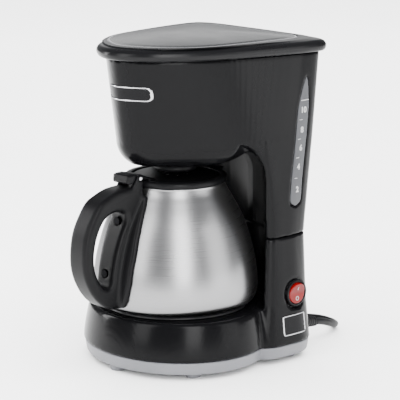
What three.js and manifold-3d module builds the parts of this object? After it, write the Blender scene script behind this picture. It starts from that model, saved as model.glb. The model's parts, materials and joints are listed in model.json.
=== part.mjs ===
// Drip coffee maker with a brushed steel jug, as an assembly of separate solids.
// Millimetres, +Z up, front towards -Y. Every part is drawn about the jug's vertical axis, and the
// outer group then moves that axis so that the origin is the bottom centre of the whole machine.
import * as THREE from "three";
import { mergeVertices } from "three/addons/utils/BufferGeometryUtils.js";
import Module from "manifold-3d";

const wasm = await Module();
wasm.setup();

// ---------------------------------------------------------------- driving dimensions
const GAP = 0.3; // clearance between touching pieces
const WALL = 2.5; // moulded wall of the housings
const BACK_Y = 107.8; // furthest point behind the jug axis: the lid's hinge barrel
const FRONT_Y = -106.4; // furthest point in front of it: the jug handle
const AXIS_Y = -(BACK_Y + FRONT_Y) / 2;

const PLATE_Z = 5; // underside of the base plate
const BASE_Z = 15.5; // lower edge of the base housing
const DECK_Z = 47; // top deck of the round drum
const SEAM_Z = 106.6; // joint between the two housings
const ARCH_Z = 188; // where the column meets the brewing head
const BOWL_Z = 168; // flat underside of the brewing head
const HEAD_TOP_Z = 258;
const LID_TOP_Z = 271;

const RECESS = { y: -10.5, r: 84.5, springZ: 152, archR: 66 };
const PARTITION_Y = 46; // front face of the wall between basket chamber and tank
const PIN = { y: 104.2, z: 262, r: 1.8, barrel: 3.6 };

const PLATE_TOP_Z = 49.7; // hot plate surface
const HOSE = { x: 44, y: 74, r: 4.2 }; // where the two hoses rise in the column
const JUG = { z0: 50, z1: 151, wall: 1.2 };
const COLLAR = { z0: 151.3, z1: 156.6, rOut: 43, rIn: 36.5 };
const HANDLE_HALF = 11;
const SWITCH = { y: 64, z: 57.5, face: 78.6, recess: 13.3, bezel: 11.3, hole: 9.9 };
const CORD_D = 6;

const OUTLINE_POINTS = 36; // points round each plan outline of the body

// ---------------------------------------------------------------- colours and finishes
const finish = (color, roughness, metalness, extra = {}) =>
  new THREE.MeshStandardMaterial({ color, roughness, metalness, ...extra });
const GLOSS_BLACK = finish(0x17171a, 0.22, 0);
const SATIN_BLACK = finish(0x1d1d1f, 0.45, 0);
const INNER_BLACK = finish(0x202022, 0.6, 0);
const LIGHT_GREY = finish(0xb9bac0, 0.5, 0);
const STEEL = finish(0xc9cacc, 0.3, 1);
const ALUMINIUM = finish(0xa9abae, 0.4, 1);
const DARK_COATING = finish(0x2a2a2c, 0.5, 0.3);
const RED_LENS = finish(0xc8141c, 0.2, 0);
const WINDOW_GREY = finish(0x8f9196, 0.3, 0, { transparent: true, opacity: 0.6 });
const SILVER = finish(0xc4c4c6, 0.3, 0.8);
const SILICONE = finish(0xd9d6cf, 0.6, 0);
const CORD_BLACK = finish(0x111112, 0.55, 0);
const BRASS = finish(0xc9a85a, 0.35, 1);
const CERAMIC = finish(0xe6e2d8, 0.7, 0);

// ---------------------------------------------------------------- solids
function solidOf(geometry) {
  const bare = geometry.index ? geometry.toNonIndexed() : geometry.clone();
  bare.deleteAttribute("normal");
  bare.deleteAttribute("uv");
  const merged = mergeVertices(bare, 1e-4);
  return new wasm.Manifold(
    new wasm.Mesh({
      numProp: 3,
      vertProperties: merged.attributes.position.array,
      triVerts: new Uint32Array(merged.index.array),
    }),
  );
}

function geometryOf(solid) {
  const mesh = solid.getMesh();
  const geometry = new THREE.BufferGeometry();
  geometry.setAttribute("position", new THREE.BufferAttribute(mesh.vertProperties, 3));
  geometry.setIndex(new THREE.BufferAttribute(mesh.triVerts, 1));
  return geometry;
}

const join = (...solids) => solids.reduce((a, b) => a.add(b));
const cut = (body, ...tools) => tools.reduce((a, b) => a.subtract(b), body);
const common = (...solids) => solids.reduce((a, b) => a.intersect(b));

function box(x0, x1, y0, y1, z0, z1) {
  const geometry = new THREE.BoxGeometry(x1 - x0, y1 - y0, z1 - z0);
  geometry.translate((x0 + x1) / 2, (y0 + y1) / 2, (z0 + z1) / 2);
  return solidOf(geometry);
}

// A profile of [radius, height] points turned about the vertical line through (x, y).
function turned(profile, segments = 36, x = 0, y = 0) {
  const points = profile.map(([r, z]) => new THREE.Vector2(r, z));
  const geometry = new THREE.LatheGeometry(points, segments);
  geometry.rotateX(Math.PI / 2);
  geometry.translate(x, y, 0);
  return solidOf(geometry);
}

const rod = (r, z0, z1, x = 0, y = 0, segments = 18) =>
  turned([[0, z0], [r, z0], [r, z1], [0, z1]], segments, x, y);

const ring = (rIn, rOut, z0, z1, x = 0, y = 0, segments = 40) =>
  turned([[rIn, z0], [rOut, z0], [rOut, z1], [rIn, z1], [rIn, z0]], segments, x, y);

// A cylinder along X or Y between two values of that coordinate.
function bar(axis, r, from, to, across, z, segments = 18) {
  const geometry = new THREE.CylinderGeometry(r, r, to - from, segments);
  const middle = (from + to) / 2;
  if (axis === "x") {
    geometry.rotateZ(Math.PI / 2);
    geometry.translate(middle, across, z);
  } else geometry.translate(across, middle, z);
  return solidOf(geometry);
}

function circleShape(r, sides) {
  const shape = new THREE.Shape();
  for (let i = 0; i < sides; i++) {
    const a = (i / sides) * 2 * Math.PI;
    if (i) shape.lineTo(r * Math.cos(a), r * Math.sin(a));
    else shape.moveTo(r * Math.cos(a), r * Math.sin(a));
  }
  shape.closePath();
  return shape;
}

const curveThrough = (points) =>
  new THREE.CatmullRomCurve3(points.map((p) => new THREE.Vector3(...p)), false, "centripetal");

const tube = (points, r, steps, sides = 8) =>
  solidOf(
    new THREE.ExtrudeGeometry(circleShape(r, sides), {
      steps,
      extrudePath: curveThrough(points),
    }),
  );

// A flat outline in the (y, z) plane pushed along X from x0 to x1.
function slab(outline, x0, x1) {
  const shape = new THREE.Shape(outline.map(([y, z]) => new THREE.Vector2(y, z)));
  const geometry = new THREE.ExtrudeGeometry(shape, { depth: x1 - x0, bevelEnabled: false });
  geometry.applyMatrix4(
    new THREE.Matrix4().set(0, 0, 1, x0, 1, 0, 0, 0, 0, 1, 0, 0, 0, 0, 0, 1),
  );
  return solidOf(geometry);
}

// ---------------------------------------------------------------- plan outlines
// The right half of a plan outline, front to back, as [x, y] points about the jug axis.
const HEAD_TOP = [
  [0, -65.4], [24, -54], [43.6, -31], [60, 5], [70.5, 45],
  [75.5, 78], [73, 94.5], [60, 99.5], [30, 101.5], [0, 102],
];
const HEAD_LOW = [
  [0, -56], [20.5, -46.6], [38.8, -27], [58, 3], [71, 38],
  [76, 70], [72.5, 88.5], [59, 94], [30, 96], [0, 96.5],
];
const COLUMN = [
  { z: BASE_Z, half: [
    [0, 20], [60, 22], [75, 26], [82.5, 36], [84.8, 55],
    [84, 71], [77.5, 83], [62, 88.5], [30, 90], [0, 90.5],
  ] },
  { z: 50, half: [
    [0, 28], [60, 30], [72, 31.5], [78.5, 38], [80.5, 55],
    [79.8, 69], [74, 81.5], [60, 86], [30, 87.5], [0, 88],
  ] },
  { z: SEAM_Z, half: [
    [0, 34], [58, 35], [69.5, 36.5], [75, 41.5], [76.5, 55],
    [75.8, 68], [71.5, 80.5], [58, 84.5], [30, 86], [0, 86.5],
  ] },
  { z: ARCH_Z, half: [
    [0, 33], [57, 33], [67, 33.2], [71, 38], [73.7, 54],
    [76, 70], [72.5, 88.5], [59, 94], [30, 96], [0, 96.5],
  ] },
];
const LID_HALF = [
  [0, -71.5], [28, -60.5], [49, -34.5], [65, 3], [75.5, 44],
  [80.6, 78], [78, 98], [63, 103], [30, 104], [0, 104.2],
];

// The whole outline as a smooth closed curve, evenly sampled.
function closedOutline(half, samples = OUTLINE_POINTS) {
  const left = half.slice(1, -1).reverse().map(([x, y]) => [-x, y]);
  const points = [...half, ...left].map(([x, y]) => new THREE.Vector3(x, y, 0));
  const curve = new THREE.CatmullRomCurve3(points, true, "centripetal");
  const outline = [];
  for (let i = 0; i < samples; i++) {
    const p = curve.getPoint(i / samples);
    outline.push([p.x, p.y]);
  }
  return outline;
}

function blend(a, b, t) {
  return a.map(([x, y], i) => [x + (b[i][0] - x) * t, y + (b[i][1] - y) * t]);
}

// Moves an outline outwards along its normals (inwards when the distance is negative).
function grown(outline, distance) {
  const n = outline.length;
  return outline.map(([x, y], i) => {
    const [ax, ay] = outline[(i + n - 1) % n];
    const [bx, by] = outline[(i + 1) % n];
    const length = Math.hypot(bx - ax, by - ay);
    return [x + ((by - ay) / length) * distance, y - ((bx - ax) / length) * distance];
  });
}

// A closed skin through a stack of outlines of equal size.
function loft(levels) {
  const n = levels[0].outline.length;
  const positions = [];
  for (const { z, outline } of levels) for (const [x, y] of outline) positions.push(x, y, z);
  for (const { z, outline } of [levels[0], levels.at(-1)]) {
    const x = outline.reduce((s, p) => s + p[0], 0) / n;
    const y = outline.reduce((s, p) => s + p[1], 0) / n;
    positions.push(x, y, z);
  }
  const bottom = levels.length * n;
  const top = bottom + 1;
  const index = [];
  for (let i = 0; i < n; i++) {
    const j = (i + 1) % n;
    index.push(bottom, j, i);
    index.push(top, (levels.length - 1) * n + i, (levels.length - 1) * n + j);
    for (let k = 0; k + 1 < levels.length; k++) {
      const a = k * n;
      const b = a + n;
      index.push(a + i, a + j, b + j, a + i, b + j, b + i);
    }
  }
  const geometry = new THREE.BufferGeometry();
  geometry.setAttribute("position", new THREE.Float32BufferAttribute(positions, 3));
  geometry.setIndex(index);
  return solidOf(geometry);
}

const ellipse = (a, b, samples = OUTLINE_POINTS) =>
  Array.from({ length: samples }, (_, i) => {
    const t = (i / samples) * 2 * Math.PI - Math.PI / 2;
    return [a * Math.cos(t), b * Math.sin(t)];
  });

// ---------------------------------------------------------------- outer forms of the body
function columnOutline(z) {
  const above = Math.max(1, COLUMN.findIndex((level) => level.z >= z));
  const low = COLUMN[above - 1];
  const high = COLUMN[above];
  return closedOutline(blend(low.half, high.half, (z - low.z) / (high.z - low.z)));
}

const headOutline = (z) =>
  closedOutline(blend(HEAD_LOW, HEAD_TOP, (z - ARCH_Z) / (HEAD_TOP_Z - ARCH_Z)));

// The column between two heights, grown by a distance on every side.
function column(z0, z1, grow = 0) {
  const inner = [50, SEAM_Z, 146].filter((z) => z > z0 + 3 && z < z1 - 3);
  return loft([z0, ...inner, z1].map((z) => {
    const at = Math.min(Math.max(z, BASE_Z), ARCH_Z);
    return { z, outline: grown(columnOutline(at), grow) };
  }));
}

const head = (z0, z1, grow = 0) =>
  loft([z0, (z0 + z1) / 2, z1].map((z) => ({ z, outline: grown(headOutline(z), grow) })));

// The space the jug stands in, grown into the material by a distance.
function recess(grow = 0) {
  const profile = [[0, DECK_Z - grow], [RECESS.r + grow, DECK_Z - grow]];
  const across = RECESS.r - RECESS.archR + grow;
  const up = ARCH_Z - RECESS.springZ + grow;
  for (let i = 0; i <= 5; i++) {
    const a = (i / 5) * (Math.PI / 2);
    profile.push([RECESS.archR + across * Math.cos(a), RECESS.springZ + up * Math.sin(a)]);
  }
  profile.push([0, ARCH_Z + grow]);
  return turned(profile, 48, 0, RECESS.y);
}

// The rounded underside of the brewing head, shrinking towards its flat bottom.
function bowl(z0, grow = 0) {
  const full = headOutline(ARCH_Z).map(([x, y]) => {
    const reach = Math.hypot(x, y - RECESS.y);
    const k = Math.min(1, RECESS.archR / reach);
    return [x * k, RECESS.y + (y - RECESS.y) * k];
  });
  const depth = ARCH_Z - BOWL_Z + 0.5;
  const levels = [];
  for (let i = 0; i <= 5; i++) {
    const z = z0 + (ARCH_Z - z0) * (i / 5) ** 2;
    const k = 0.5 + 0.5 * Math.sqrt(1 - ((ARCH_Z - z) / depth) ** 2);
    const outline = full.map(([x, y]) => [x * k, RECESS.y + (y - RECESS.y) * k]);
    levels.push({ z, outline: grown(outline, grow) });
  }
  return loft(levels);
}

function drum(shrink = 0, z0 = BASE_Z, top = DECK_Z) {
  const levels = [
    [z0, 82, 75], [22, 81.5, 74.4], [40, 78.8, 70.2], [44.6, 77.2, 68.6], [top, 74, 65.6],
  ];
  return loft(levels.map(([z, a, b]) => ({
    z: Math.min(z, top),
    outline: ellipse(a - shrink, b - shrink),
  })).filter((level, i, all) => i === 0 || level.z > all[i - 1].z));
}

const upperSkin = (grow) =>
  join(column(SEAM_Z + GAP, ARCH_Z, grow), head(ARCH_Z, HEAD_TOP_Z, grow));
const lowerSkin = (grow) => join(drum(-grow), column(BASE_Z, SEAM_Z - GAP, grow));

// ---------------------------------------------------------------- assembly
const machine = new THREE.Group();
machine.position.y = AXIS_Y;

function add(name, solid, material) {
  const mesh = new THREE.Mesh(geometryOf(solid), material);
  mesh.name = name;
  machine.add(mesh);
}

// ---------------------------------------------------------------- base
const FOOT_R = 6.5;
const FEET = {
  foot_front: [0, -64.5], foot_right: [57, -32], foot_left: [-57, -32],
  foot_rear_right: [68, 66], foot_rear_left: [-68, 66],
};
const BASE_SCREWS = {
  right: [52, 50], left: [-52, 50], front_right: [32, -54], front_left: [-32, -54],
};
const SCREW_HEAD = { r: 3, h: 1.8 };

function baseFootprint(z0, z1, shrinkLow, shrinkHigh) {
  const round = loft([
    { z: z0, outline: ellipse(82 - shrinkLow, 75 - shrinkLow) },
    { z: z1, outline: ellipse(82 - shrinkHigh, 75 - shrinkHigh) },
  ]);
  const rear = loft([
    { z: z0, outline: grown(columnOutline(BASE_Z), -shrinkLow) },
    { z: z1, outline: grown(columnOutline(BASE_Z), -shrinkHigh) },
  ]);
  return join(round, rear);
}

function basePlate() {
  let plate = cut(
    baseFootprint(PLATE_Z, BASE_Z - GAP, 3.2, 1),
    baseFootprint(PLATE_Z + WALL, BASE_Z + 1, 6, 3.6),
  );
  for (const [x, y] of Object.values(BASE_SCREWS)) {
    plate = join(plate, rod(5.5, PLATE_Z + 0.5, BASE_Z - GAP, x, y));
    plate = cut(plate, rod(1.9, PLATE_Z - 1, BASE_Z, x, y, 16));
    plate = cut(plate, rod(SCREW_HEAD.r + GAP, PLATE_Z - 1, PLATE_Z + SCREW_HEAD.h + 0.6, x, y));
  }
  for (const x of [-12, 0, 12]) plate = cut(plate, box(x - 1.5, x + 1.5, -14, 22, PLATE_Z - 1, 9));
  return plate;
}
add("base_plate", basePlate(), LIGHT_GREY);

for (const [name, [x, y]] of Object.entries(FEET)) {
  const top = PLATE_Z - GAP;
  const pad = turned([[0, 0], [FOOT_R - 1, 0], [FOOT_R, 1], [FOOT_R, top], [0, top]], 20, x, y);
  add(name, pad, LIGHT_GREY);
}

for (const [name, [x, y]] of Object.entries(BASE_SCREWS)) {
  const top = PLATE_Z + 0.3 + SCREW_HEAD.h;
  const screw = join(
    rod(SCREW_HEAD.r, PLATE_Z + 0.3, top, x, y, 14),
    rod(1.5, top - 0.1, 24, x, y, 8),
  );
  const slotCut = box(x - 0.4, x + 0.4, y - 2.2, y + 2.2, PLATE_Z, PLATE_Z + 1.1);
  add(`base_screw_${name}`, cut(screw, slotCut), STEEL);
}

// The cord leaves through the back wall.
const EXIT = { x: 56, z: 22, y: 88, tilt: 10 };

function baseHousing() {
  const shell = cut(lowerSkin(0), recess());
  const inside = cut(column(BASE_Z - 1, SEAM_Z + 1, -WALL), recess(WALL));
  let body = cut(shell, inside, drum(WALL, BASE_Z - 1, DECK_Z - WALL));
  body = cut(body, rod(57.5, 40, 50, 0, 0, 44));
  for (const [x, y] of Object.values(BASE_SCREWS)) {
    body = join(body, rod(4.5, BASE_Z + 0.2, DECK_Z - 1, x, y));
    body = cut(body, rod(1.8, BASE_Z - 1, 26, x, y, 16));
  }
  const switchBoss = bar("x", 15, 75.5, 79.5, SWITCH.y, SWITCH.z, 40);
  body = join(body, common(column(BASE_Z, SEAM_Z - GAP, -1), switchBoss));
  const recessRing = bar("x", SWITCH.recess, SWITCH.face, 90, SWITCH.y, SWITCH.z, 40);
  const hole = bar("x", SWITCH.hole + GAP, 60, 90, SWITCH.y, SWITCH.z, 40);
  const grommet = bar("y", 5.1, 70, 110, EXIT.x, EXIT.z);
  return cut(body, recessRing, hole, grommet);
}
add("base_housing", baseHousing(), GLOSS_BLACK);

// ---------------------------------------------------------------- hot plate and heater
const HEATER = { r: 40, z: 36 };

add("hot_plate", turned([
  [0, PLATE_TOP_Z - 1.5], [55.5, PLATE_TOP_Z - 1.5], [55.5, 43], [57, 43], [57, DECK_Z + GAP],
  [62.5, DECK_Z + GAP], [62.5, DECK_Z + 1.6], [60.5, PLATE_TOP_Z], [0, PLATE_TOP_Z],
], 44), DARK_COATING);

// Half of the angle the round part of the element covers, measured from its front.
const ELEMENT_SWEEP = Math.PI * 0.81;
function heatingElement() {
  const arc = [];
  for (let i = 0; i <= 10; i++) {
    const a = (i / 5 - 1) * ELEMENT_SWEEP - Math.PI / 2;
    arc.push([HEATER.r * Math.cos(a), HEATER.r * Math.sin(a), HEATER.z]);
  }
  const end = (point) => [point[0], 44, HEATER.z];
  return tube([end(arc[0]), ...arc, end(arc.at(-1))], 5.6, 34, 10);
}
add("heating_element", heatingElement(), ALUMINIUM);
add("element_clamp", join(
  box(-7, 7, -46.5, -33.5, HEATER.z + 5.9, HEATER.z + 7.6),
  box(-7, 7, -33.7, 16, HEATER.z + 5.9, HEATER.z + 7.6),
), STEEL);
add("thermostat", join(rod(8, 31, HEATER.z + 5.6, 0, -6, 24), box(-5, 5, -12, 0, 27, 31.5)), CERAMIC);
for (const [name, x] of [["thermal_fuse_left", -20], ["thermal_fuse_right", 20]]) {
  add(name, bar("y", 2.2, -14, 8, x, HEATER.z + 3, 16), SILVER);
}

// ---------------------------------------------------------------- upper housing
function tankHousing() {
  const tower = cut(column(SEAM_Z + GAP, ARCH_Z), recess());
  let body = join(tower, head(ARCH_Z, HEAD_TOP_Z), bowl(BOWL_Z));
  const innerBody = join(
    column(SEAM_Z + 3.2, ARCH_Z + 1, -WALL),
    head(ARCH_Z, HEAD_TOP_Z + 1, -WALL),
  );
  const tank = cut(
    common(innerBody, box(-90, 90, PARTITION_Y + WALL, 120, 100, 270)),
    recess(WALL),
  );
  const chamber = common(
    join(head(ARCH_Z, HEAD_TOP_Z + 1, -WALL), bowl(BOWL_Z + 3, -3)),
    box(-90, 90, -90, PARTITION_Y, 160, 270),
  );
  body = cut(body, tank, chamber);
  body = cut(body, box(-80, 80, PARTITION_Y - 2, PARTITION_Y + WALL + 2, 243, 270).intersect(
    head(ARCH_Z, HEAD_TOP_Z + 1, -WALL),
  ));
  body = cut(body, rod(11.5, 160, 175));
  for (const x of [HOSE.x, -HOSE.x]) body = cut(body, rod(5.4, 100, 112, x, HOSE.y));
  // hinge ears behind the rear wall
  const earSide = [
    [PIN.y - 3.6, PIN.z], [PIN.y - 4, 246], [PIN.y - 2.2, 246], [PIN.y + 3.6, 256],
    [PIN.y + 3.6, PIN.z],
  ];
  for (const [x0, x1] of [[-28, -20], [20, 28]]) {
    body = join(body, bar("x", PIN.barrel, x0, x1, PIN.y, PIN.z), slab(earSide, x0, x1));
  }
  body = cut(body, bar("x", PIN.r + GAP, -40, 40, PIN.y, PIN.z));
  return cut(body, windowShape(0));
}

// The level window is a leaning strip, pointed at the top and round at the bottom.
function windowShape(shrink) {
  const centre = new THREE.CatmullRomCurve3([
    new THREE.Vector3(0, 66.2, 130.5), new THREE.Vector3(0, 68.2, 155),
    new THREE.Vector3(0, 71.6, 182), new THREE.Vector3(0, 75, 214), new THREE.Vector3(0, 78.3, 239),
  ]);
  const front = [];
  const back = [];
  for (let i = 0; i <= 14; i++) {
    const t = i / 14;
    const p = centre.getPoint(t);
    const roundEnd = Math.sqrt(Math.max(0, 1 - (1 - Math.min(1, t / 0.07)) ** 2));
    const point = Math.min(1, (1 - t) / 0.26) ** 0.62;
    const half = Math.max(0.25, (7.1 - 0.9 * t) * Math.min(roundEnd, point)) - shrink;
    front.push([p.y - Math.max(0.1, half), p.z]);
    back.unshift([p.y + Math.max(0.1, half), p.z]);
  }
  return slab([...back, ...front], 60, 90);
}

add("tank_housing", tankHousing(), GLOSS_BLACK);
add("water_window", cut(
  common(windowShape(GAP), upperSkin(0.5)),
  upperSkin(-2),
), WINDOW_GREY);

const badge = (skin, blank) => cut(common(skin(0.9), blank), skin(GAP));
add("front_badge", badge(upperSkin, box(-25, 25, -80, -30, 226, 236.5)), SILVER);
add("side_badge", badge(lowerSkin, box(60, 95, 46, 72.5, 23.4, 40.4)), SILVER);

// ---------------------------------------------------------------- lid
function lid() {
  const plan = closedOutline(LID_HALF);
  const level = (z, inset) => ({ z, outline: grown(plan, -inset) });
  const bottom = HEAD_TOP_Z + GAP;
  const skin = loft([
    level(bottom, 2.4), level(bottom + 1.6, 0.6), level(bottom + 4, 0), level(bottom + 6.5, 0.9),
    level(bottom + 8.7, 4), level(bottom + 10.2, 9), level(bottom + 10.9, 15),
    level(LID_TOP_Z - 1.4, 26), level(LID_TOP_Z, 46),
  ]);
  const hollow = loft([level(bottom - 1, 7), level(bottom + 5, 9), level(bottom + 8, 20)]);
  let body = cut(skin, hollow);
  body = join(body, bar("x", PIN.barrel, -19.6, 19.6, PIN.y, PIN.z));
  body = join(body, box(-19.6, 19.6, 97, PIN.y, PIN.z - 2, PIN.z + 2));
  for (const [x0, x1] of [[-28.4, -19.6], [19.6, 28.4]]) {
    body = cut(body, box(x0, x1, 98.5, 110, 255, 275));
  }
  return cut(body, bar("x", PIN.r + GAP, -40, 40, PIN.y, PIN.z));
}
add("lid", lid(), SATIN_BLACK);
add("lid_hinge_pin", bar("x", PIN.r, -27.6, 27.6, PIN.y, PIN.z, 16), STEEL);

// The spreader takes water from the riser's nozzle and lets it drip over the ground coffee.
const NOZZLE = { x: -20, y: 53, z: 253.8 };
function showerPlate() {
  const z0 = 254.4;
  const tray = (grow, low, high) => join(
    rod(32 + grow, low, high, 0, 0, 32),
    rod(8 + grow, low, high, NOZZLE.x, NOZZLE.y, 20),
    box(NOZZLE.x - 8 - grow, NOZZLE.x + 8 + grow, 20, NOZZLE.y, low, high),
  );
  let plate = cut(tray(0, z0, 262), tray(-1.8, z0 + 1.8, 263));
  for (let i = 0; i < 8; i++) {
    const a = (i / 8) * 2 * Math.PI;
    plate = cut(plate, rod(1.6, z0 - 1, z0 + 3, 18 * Math.cos(a), 18 * Math.sin(a), 8));
  }
  return cut(plate, rod(4.6, z0 - 1, z0 + 3, NOZZLE.x, NOZZLE.y, 16));
}
add("shower_plate", showerPlate(), INNER_BLACK);

// ---------------------------------------------------------------- brewing parts
const SEAT_Z = BOWL_Z + 3 + GAP; // the basket stands on the head's floor

function filterBasket() {
  const cone = turned([
    [3.2, SEAT_Z], [6.4, SEAT_Z], [6.4, 163], [8.6, 163], [8.6, SEAT_Z], [24, SEAT_Z],
    [36, 190], [42, 206], [43.5, 240], [45, 240.6], [45, 242.4], [42, 242.4], [40.4, 206.4],
    [34.6, 191], [23.4, SEAT_Z + 1.6], [3.2, SEAT_Z + 1.6], [3.2, SEAT_Z],
  ], 30);
  let body = cone;
  for (let i = 0; i < 6; i++) {
    const rib = box(12, 22, -0.7, 0.7, SEAT_Z + 1, SEAT_Z + 4).rotate([0, 0, i * 60]);
    body = join(body, rib);
  }
  return body;
}
add("filter_basket", filterBasket(), INNER_BLACK);
add("basket_handle", (() => {
  const path = [];
  for (let i = 0; i <= 8; i++) {
    const a = (i / 8) * Math.PI;
    path.push([40.1 * Math.cos(a), -12 * Math.sin(a) + 4, 238.6]);
  }
  return tube(path, 1.3, 18, 6);
})(), STEEL);

const VALVE = { tip: 159.6, collar: 163.9, disc: 176.9 };
add("drip_valve", turned([
  [0, VALVE.tip], [2.2, VALVE.tip], [2.2, VALVE.collar], [5.2, VALVE.collar], [5.2, VALVE.collar + 1],
  [1.8, VALVE.collar + 1], [1.8, VALVE.disc], [7, VALVE.disc], [7, VALVE.disc + 2], [0, VALVE.disc + 3],
], 20), SATIN_BLACK);
add("valve_spring", (() => {
  const path = [];
  for (let i = 0; i <= 32; i++) {
    const a = (i / 32) * 4 * 2 * Math.PI;
    path.push([3.9 * Math.cos(a), 3.9 * Math.sin(a), VALVE.collar + 1.8 + (i / 32) * 4.7]);
  }
  return tube(path, 0.4, 40, 5);
})(), STEEL);
add("outlet_shroud", turned([
  [10, 160.8], [17, 160.8], [18.5, 162], [18.5, BOWL_Z - GAP], [10, BOWL_Z - GAP], [10, 160.8],
], 36), SATIN_BLACK);

// ---------------------------------------------------------------- water path
const CHECK_VALVE_Z = 88; // lower end of the valve that lets water into the inlet hose
add("check_valve", turned([
  [0, CHECK_VALVE_Z], [3.4, CHECK_VALVE_Z], [3.4, 92], [7, 92], [7, 99], [4.4, 99],
  [4.4, SEAM_Z + 4.6], [0, SEAM_Z + 4.6],
], 20, HOSE.x, HOSE.y), INNER_BLACK);
const END_X = HEATER.r * Math.cos(ELEMENT_SWEEP - Math.PI / 2);
const lowRun = (side) => [
  [side * HOSE.x, HOSE.y, 70], [side * HOSE.x, HOSE.y, 60], [side * (HOSE.x - 0.6), HOSE.y - 0.8, 46],
  [side * (HOSE.x - 4), HOSE.y - 5, 38.6], [side * (END_X + 10), 62, 36.2], [side * END_X, 54, HEATER.z],
  [side * END_X, 49, HEATER.z], [side * END_X, 44.4, HEATER.z],
];
add("inlet_hose", tube([
  [HOSE.x, HOSE.y, CHECK_VALVE_Z - GAP], [HOSE.x, HOSE.y, 80], ...lowRun(1),
], HOSE.r, 26, 8), SILICONE);
add("riser_tube", tube([
  ...lowRun(-1).reverse(), [-HOSE.x, HOSE.y, 80], [-HOSE.x, HOSE.y, 120], [-HOSE.x, HOSE.y, 200],
  [-HOSE.x, HOSE.y, 222], [-41, 71, 235], [-31, 62, 244], [-22.6, 54.4, 247],
  [NOZZLE.x, NOZZLE.y, 250.4], [NOZZLE.x, NOZZLE.y, NOZZLE.z],
], HOSE.r, 44, 8), SILICONE);
for (const [name, x, z] of [["hose_clamp_inlet", HOSE.x, 82], ["hose_clamp_riser", -HOSE.x, 98]]) {
  add(name, ring(HOSE.r + GAP, HOSE.r + 1.6, z - 2.5, z + 2.5, x, HOSE.y, 20), STEEL);
}

// ---------------------------------------------------------------- switch
const BEZEL_X = SWITCH.face + GAP; // back of the bezel, on the switch recess
add("switch_bezel", cut(
  bar("x", SWITCH.bezel, BEZEL_X, BEZEL_X + 2.1, SWITCH.y, SWITCH.z, 32),
  bar("x", 9.3, BEZEL_X - 1, BEZEL_X + 4, SWITCH.y, SWITCH.z, 32),
), SATIN_BLACK);
add("switch_body", join(
  bar("x", SWITCH.hole - 0.6, 62, 76.6, SWITCH.y, SWITCH.z, 28),
  box(59, 62.5, SWITCH.y - 4, SWITCH.y - 2.8, SWITCH.z - 3, SWITCH.z + 3),
  box(59, 62.5, SWITCH.y + 2.8, SWITCH.y + 4, SWITCH.z - 3, SWITCH.z + 3),
), INNER_BLACK);
const ROCKER = { r: 8.8, pivotX: BEZEL_X + 0.6, tilt: 7 };
function rocker() {
  const disc = bar("x", ROCKER.r, BEZEL_X, BEZEL_X + 6, SWITCH.y, SWITCH.z, 32);
  const low = ROCKER.pivotX + 1.3;
  const face = [
    [SWITCH.y - 9.5, BEZEL_X], [SWITCH.y + 9.5, BEZEL_X], [SWITCH.y + 9.5, low + 1.9],
    [SWITCH.y, low], [SWITCH.y - 9.5, low + 1.9],
  ];
  const shape = new THREE.Shape(face.map(([a, b]) => new THREE.Vector2(a, b)));
  const geometry = new THREE.ExtrudeGeometry(shape, { depth: 24, bevelEnabled: false });
  geometry.applyMatrix4(new THREE.Matrix4().set(
    0, 1, 0, 0, 0, 0, -1, SWITCH.y + 12, -1, 0, 0, SWITCH.z + SWITCH.y, 0, 0, 0, 1,
  ));
  return common(disc, solidOf(geometry))
    .translate([-ROCKER.pivotX, 0, -SWITCH.z])
    .rotate([0, ROCKER.tilt, 0])
    .translate([ROCKER.pivotX, 0, SWITCH.z]);
}
add("switch_rocker", rocker(), RED_LENS);

// ---------------------------------------------------------------- jug
const JUG_PROFILE = [
  [62, JUG.z0], [67.2, 52], [69.3, 62], [68.2, 78], [64.6, 97], [59, 115.5], [50.8, 130],
  [45.2, 140.5], [41.4, JUG.z1],
];

function jugBody() {
  const inner = JUG_PROFILE.slice(1).reverse().map(([r, z]) => [r - JUG.wall, z]);
  inner.push([60, JUG.z0 + JUG.wall], [0, JUG.z0 + JUG.wall]);
  return turned([[0, JUG.z0], ...JUG_PROFILE, ...inner], 40);
}
add("jug_body", jugBody(), STEEL);

const jugSolid = (grow) => turned([
  [0, JUG.z0 - 5], ...JUG_PROFILE.map(([r, z]) => [r + grow, z]), [43, JUG.z1 + 1], [0, JUG.z1 + 1],
], 40);

function jugCollar() {
  let body = turned([
    [COLLAR.rIn, 146], [39.6, 146], [39.6, COLLAR.z0], [42.4, COLLAR.z0], [COLLAR.rOut, 153],
    [COLLAR.rOut, 155], [42, COLLAR.z1], [COLLAR.rIn, COLLAR.z1], [COLLAR.rIn, 146],
  ], 40);
  // pouring spout at the back
  const spout = cut(
    slab([[38, COLLAR.z0], [43, COLLAR.z0], [50, COLLAR.z1], [38, COLLAR.z1]], -8, 8),
    slab([[36, 153.4], [42, 153.4], [49, 158], [36, 158]], -6, 6),
  );
  return join(body, spout);
}
add("jug_collar", jugCollar(), SATIN_BLACK);

const JUG_PIN = { y: -46.5, z: 160 };
function jugLid() {
  const rim = COLLAR.rIn - 0.5;
  const cap = turned([
    [rim - 2, 149], [rim, 149], [rim, 155.2], [30, 156.4], [12, 156.6], [5, 157.6], [0, 157.6],
    [0, 154.6], [28, 154.4], [rim - 2, 153.4], [rim - 2, 149],
  ], 32);
  const arm = slab([
    [-30, 155.6], [-36.8, 157], [-43, 157], [-43.6, 158], [-49.6, 158], [-58, 159.4],
    [-62, 161.4], [-61, 163], [-52, 163.2], [-43, 162.6], [-36, 159.6], [-28, 156.9],
  ], -6.4, 6.4);
  let body = cut(join(cap, arm), bar("x", 1.5 + GAP, -20, 20, JUG_PIN.y, JUG_PIN.z, 16));
  for (let i = 0; i < 6; i++) {
    const a = ((i + 0.5) / 6) * 2 * Math.PI;
    body = cut(body, rod(1.5, 150, 160, 10 * Math.cos(a), 10 * Math.sin(a), 8));
  }
  return body;
}
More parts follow.
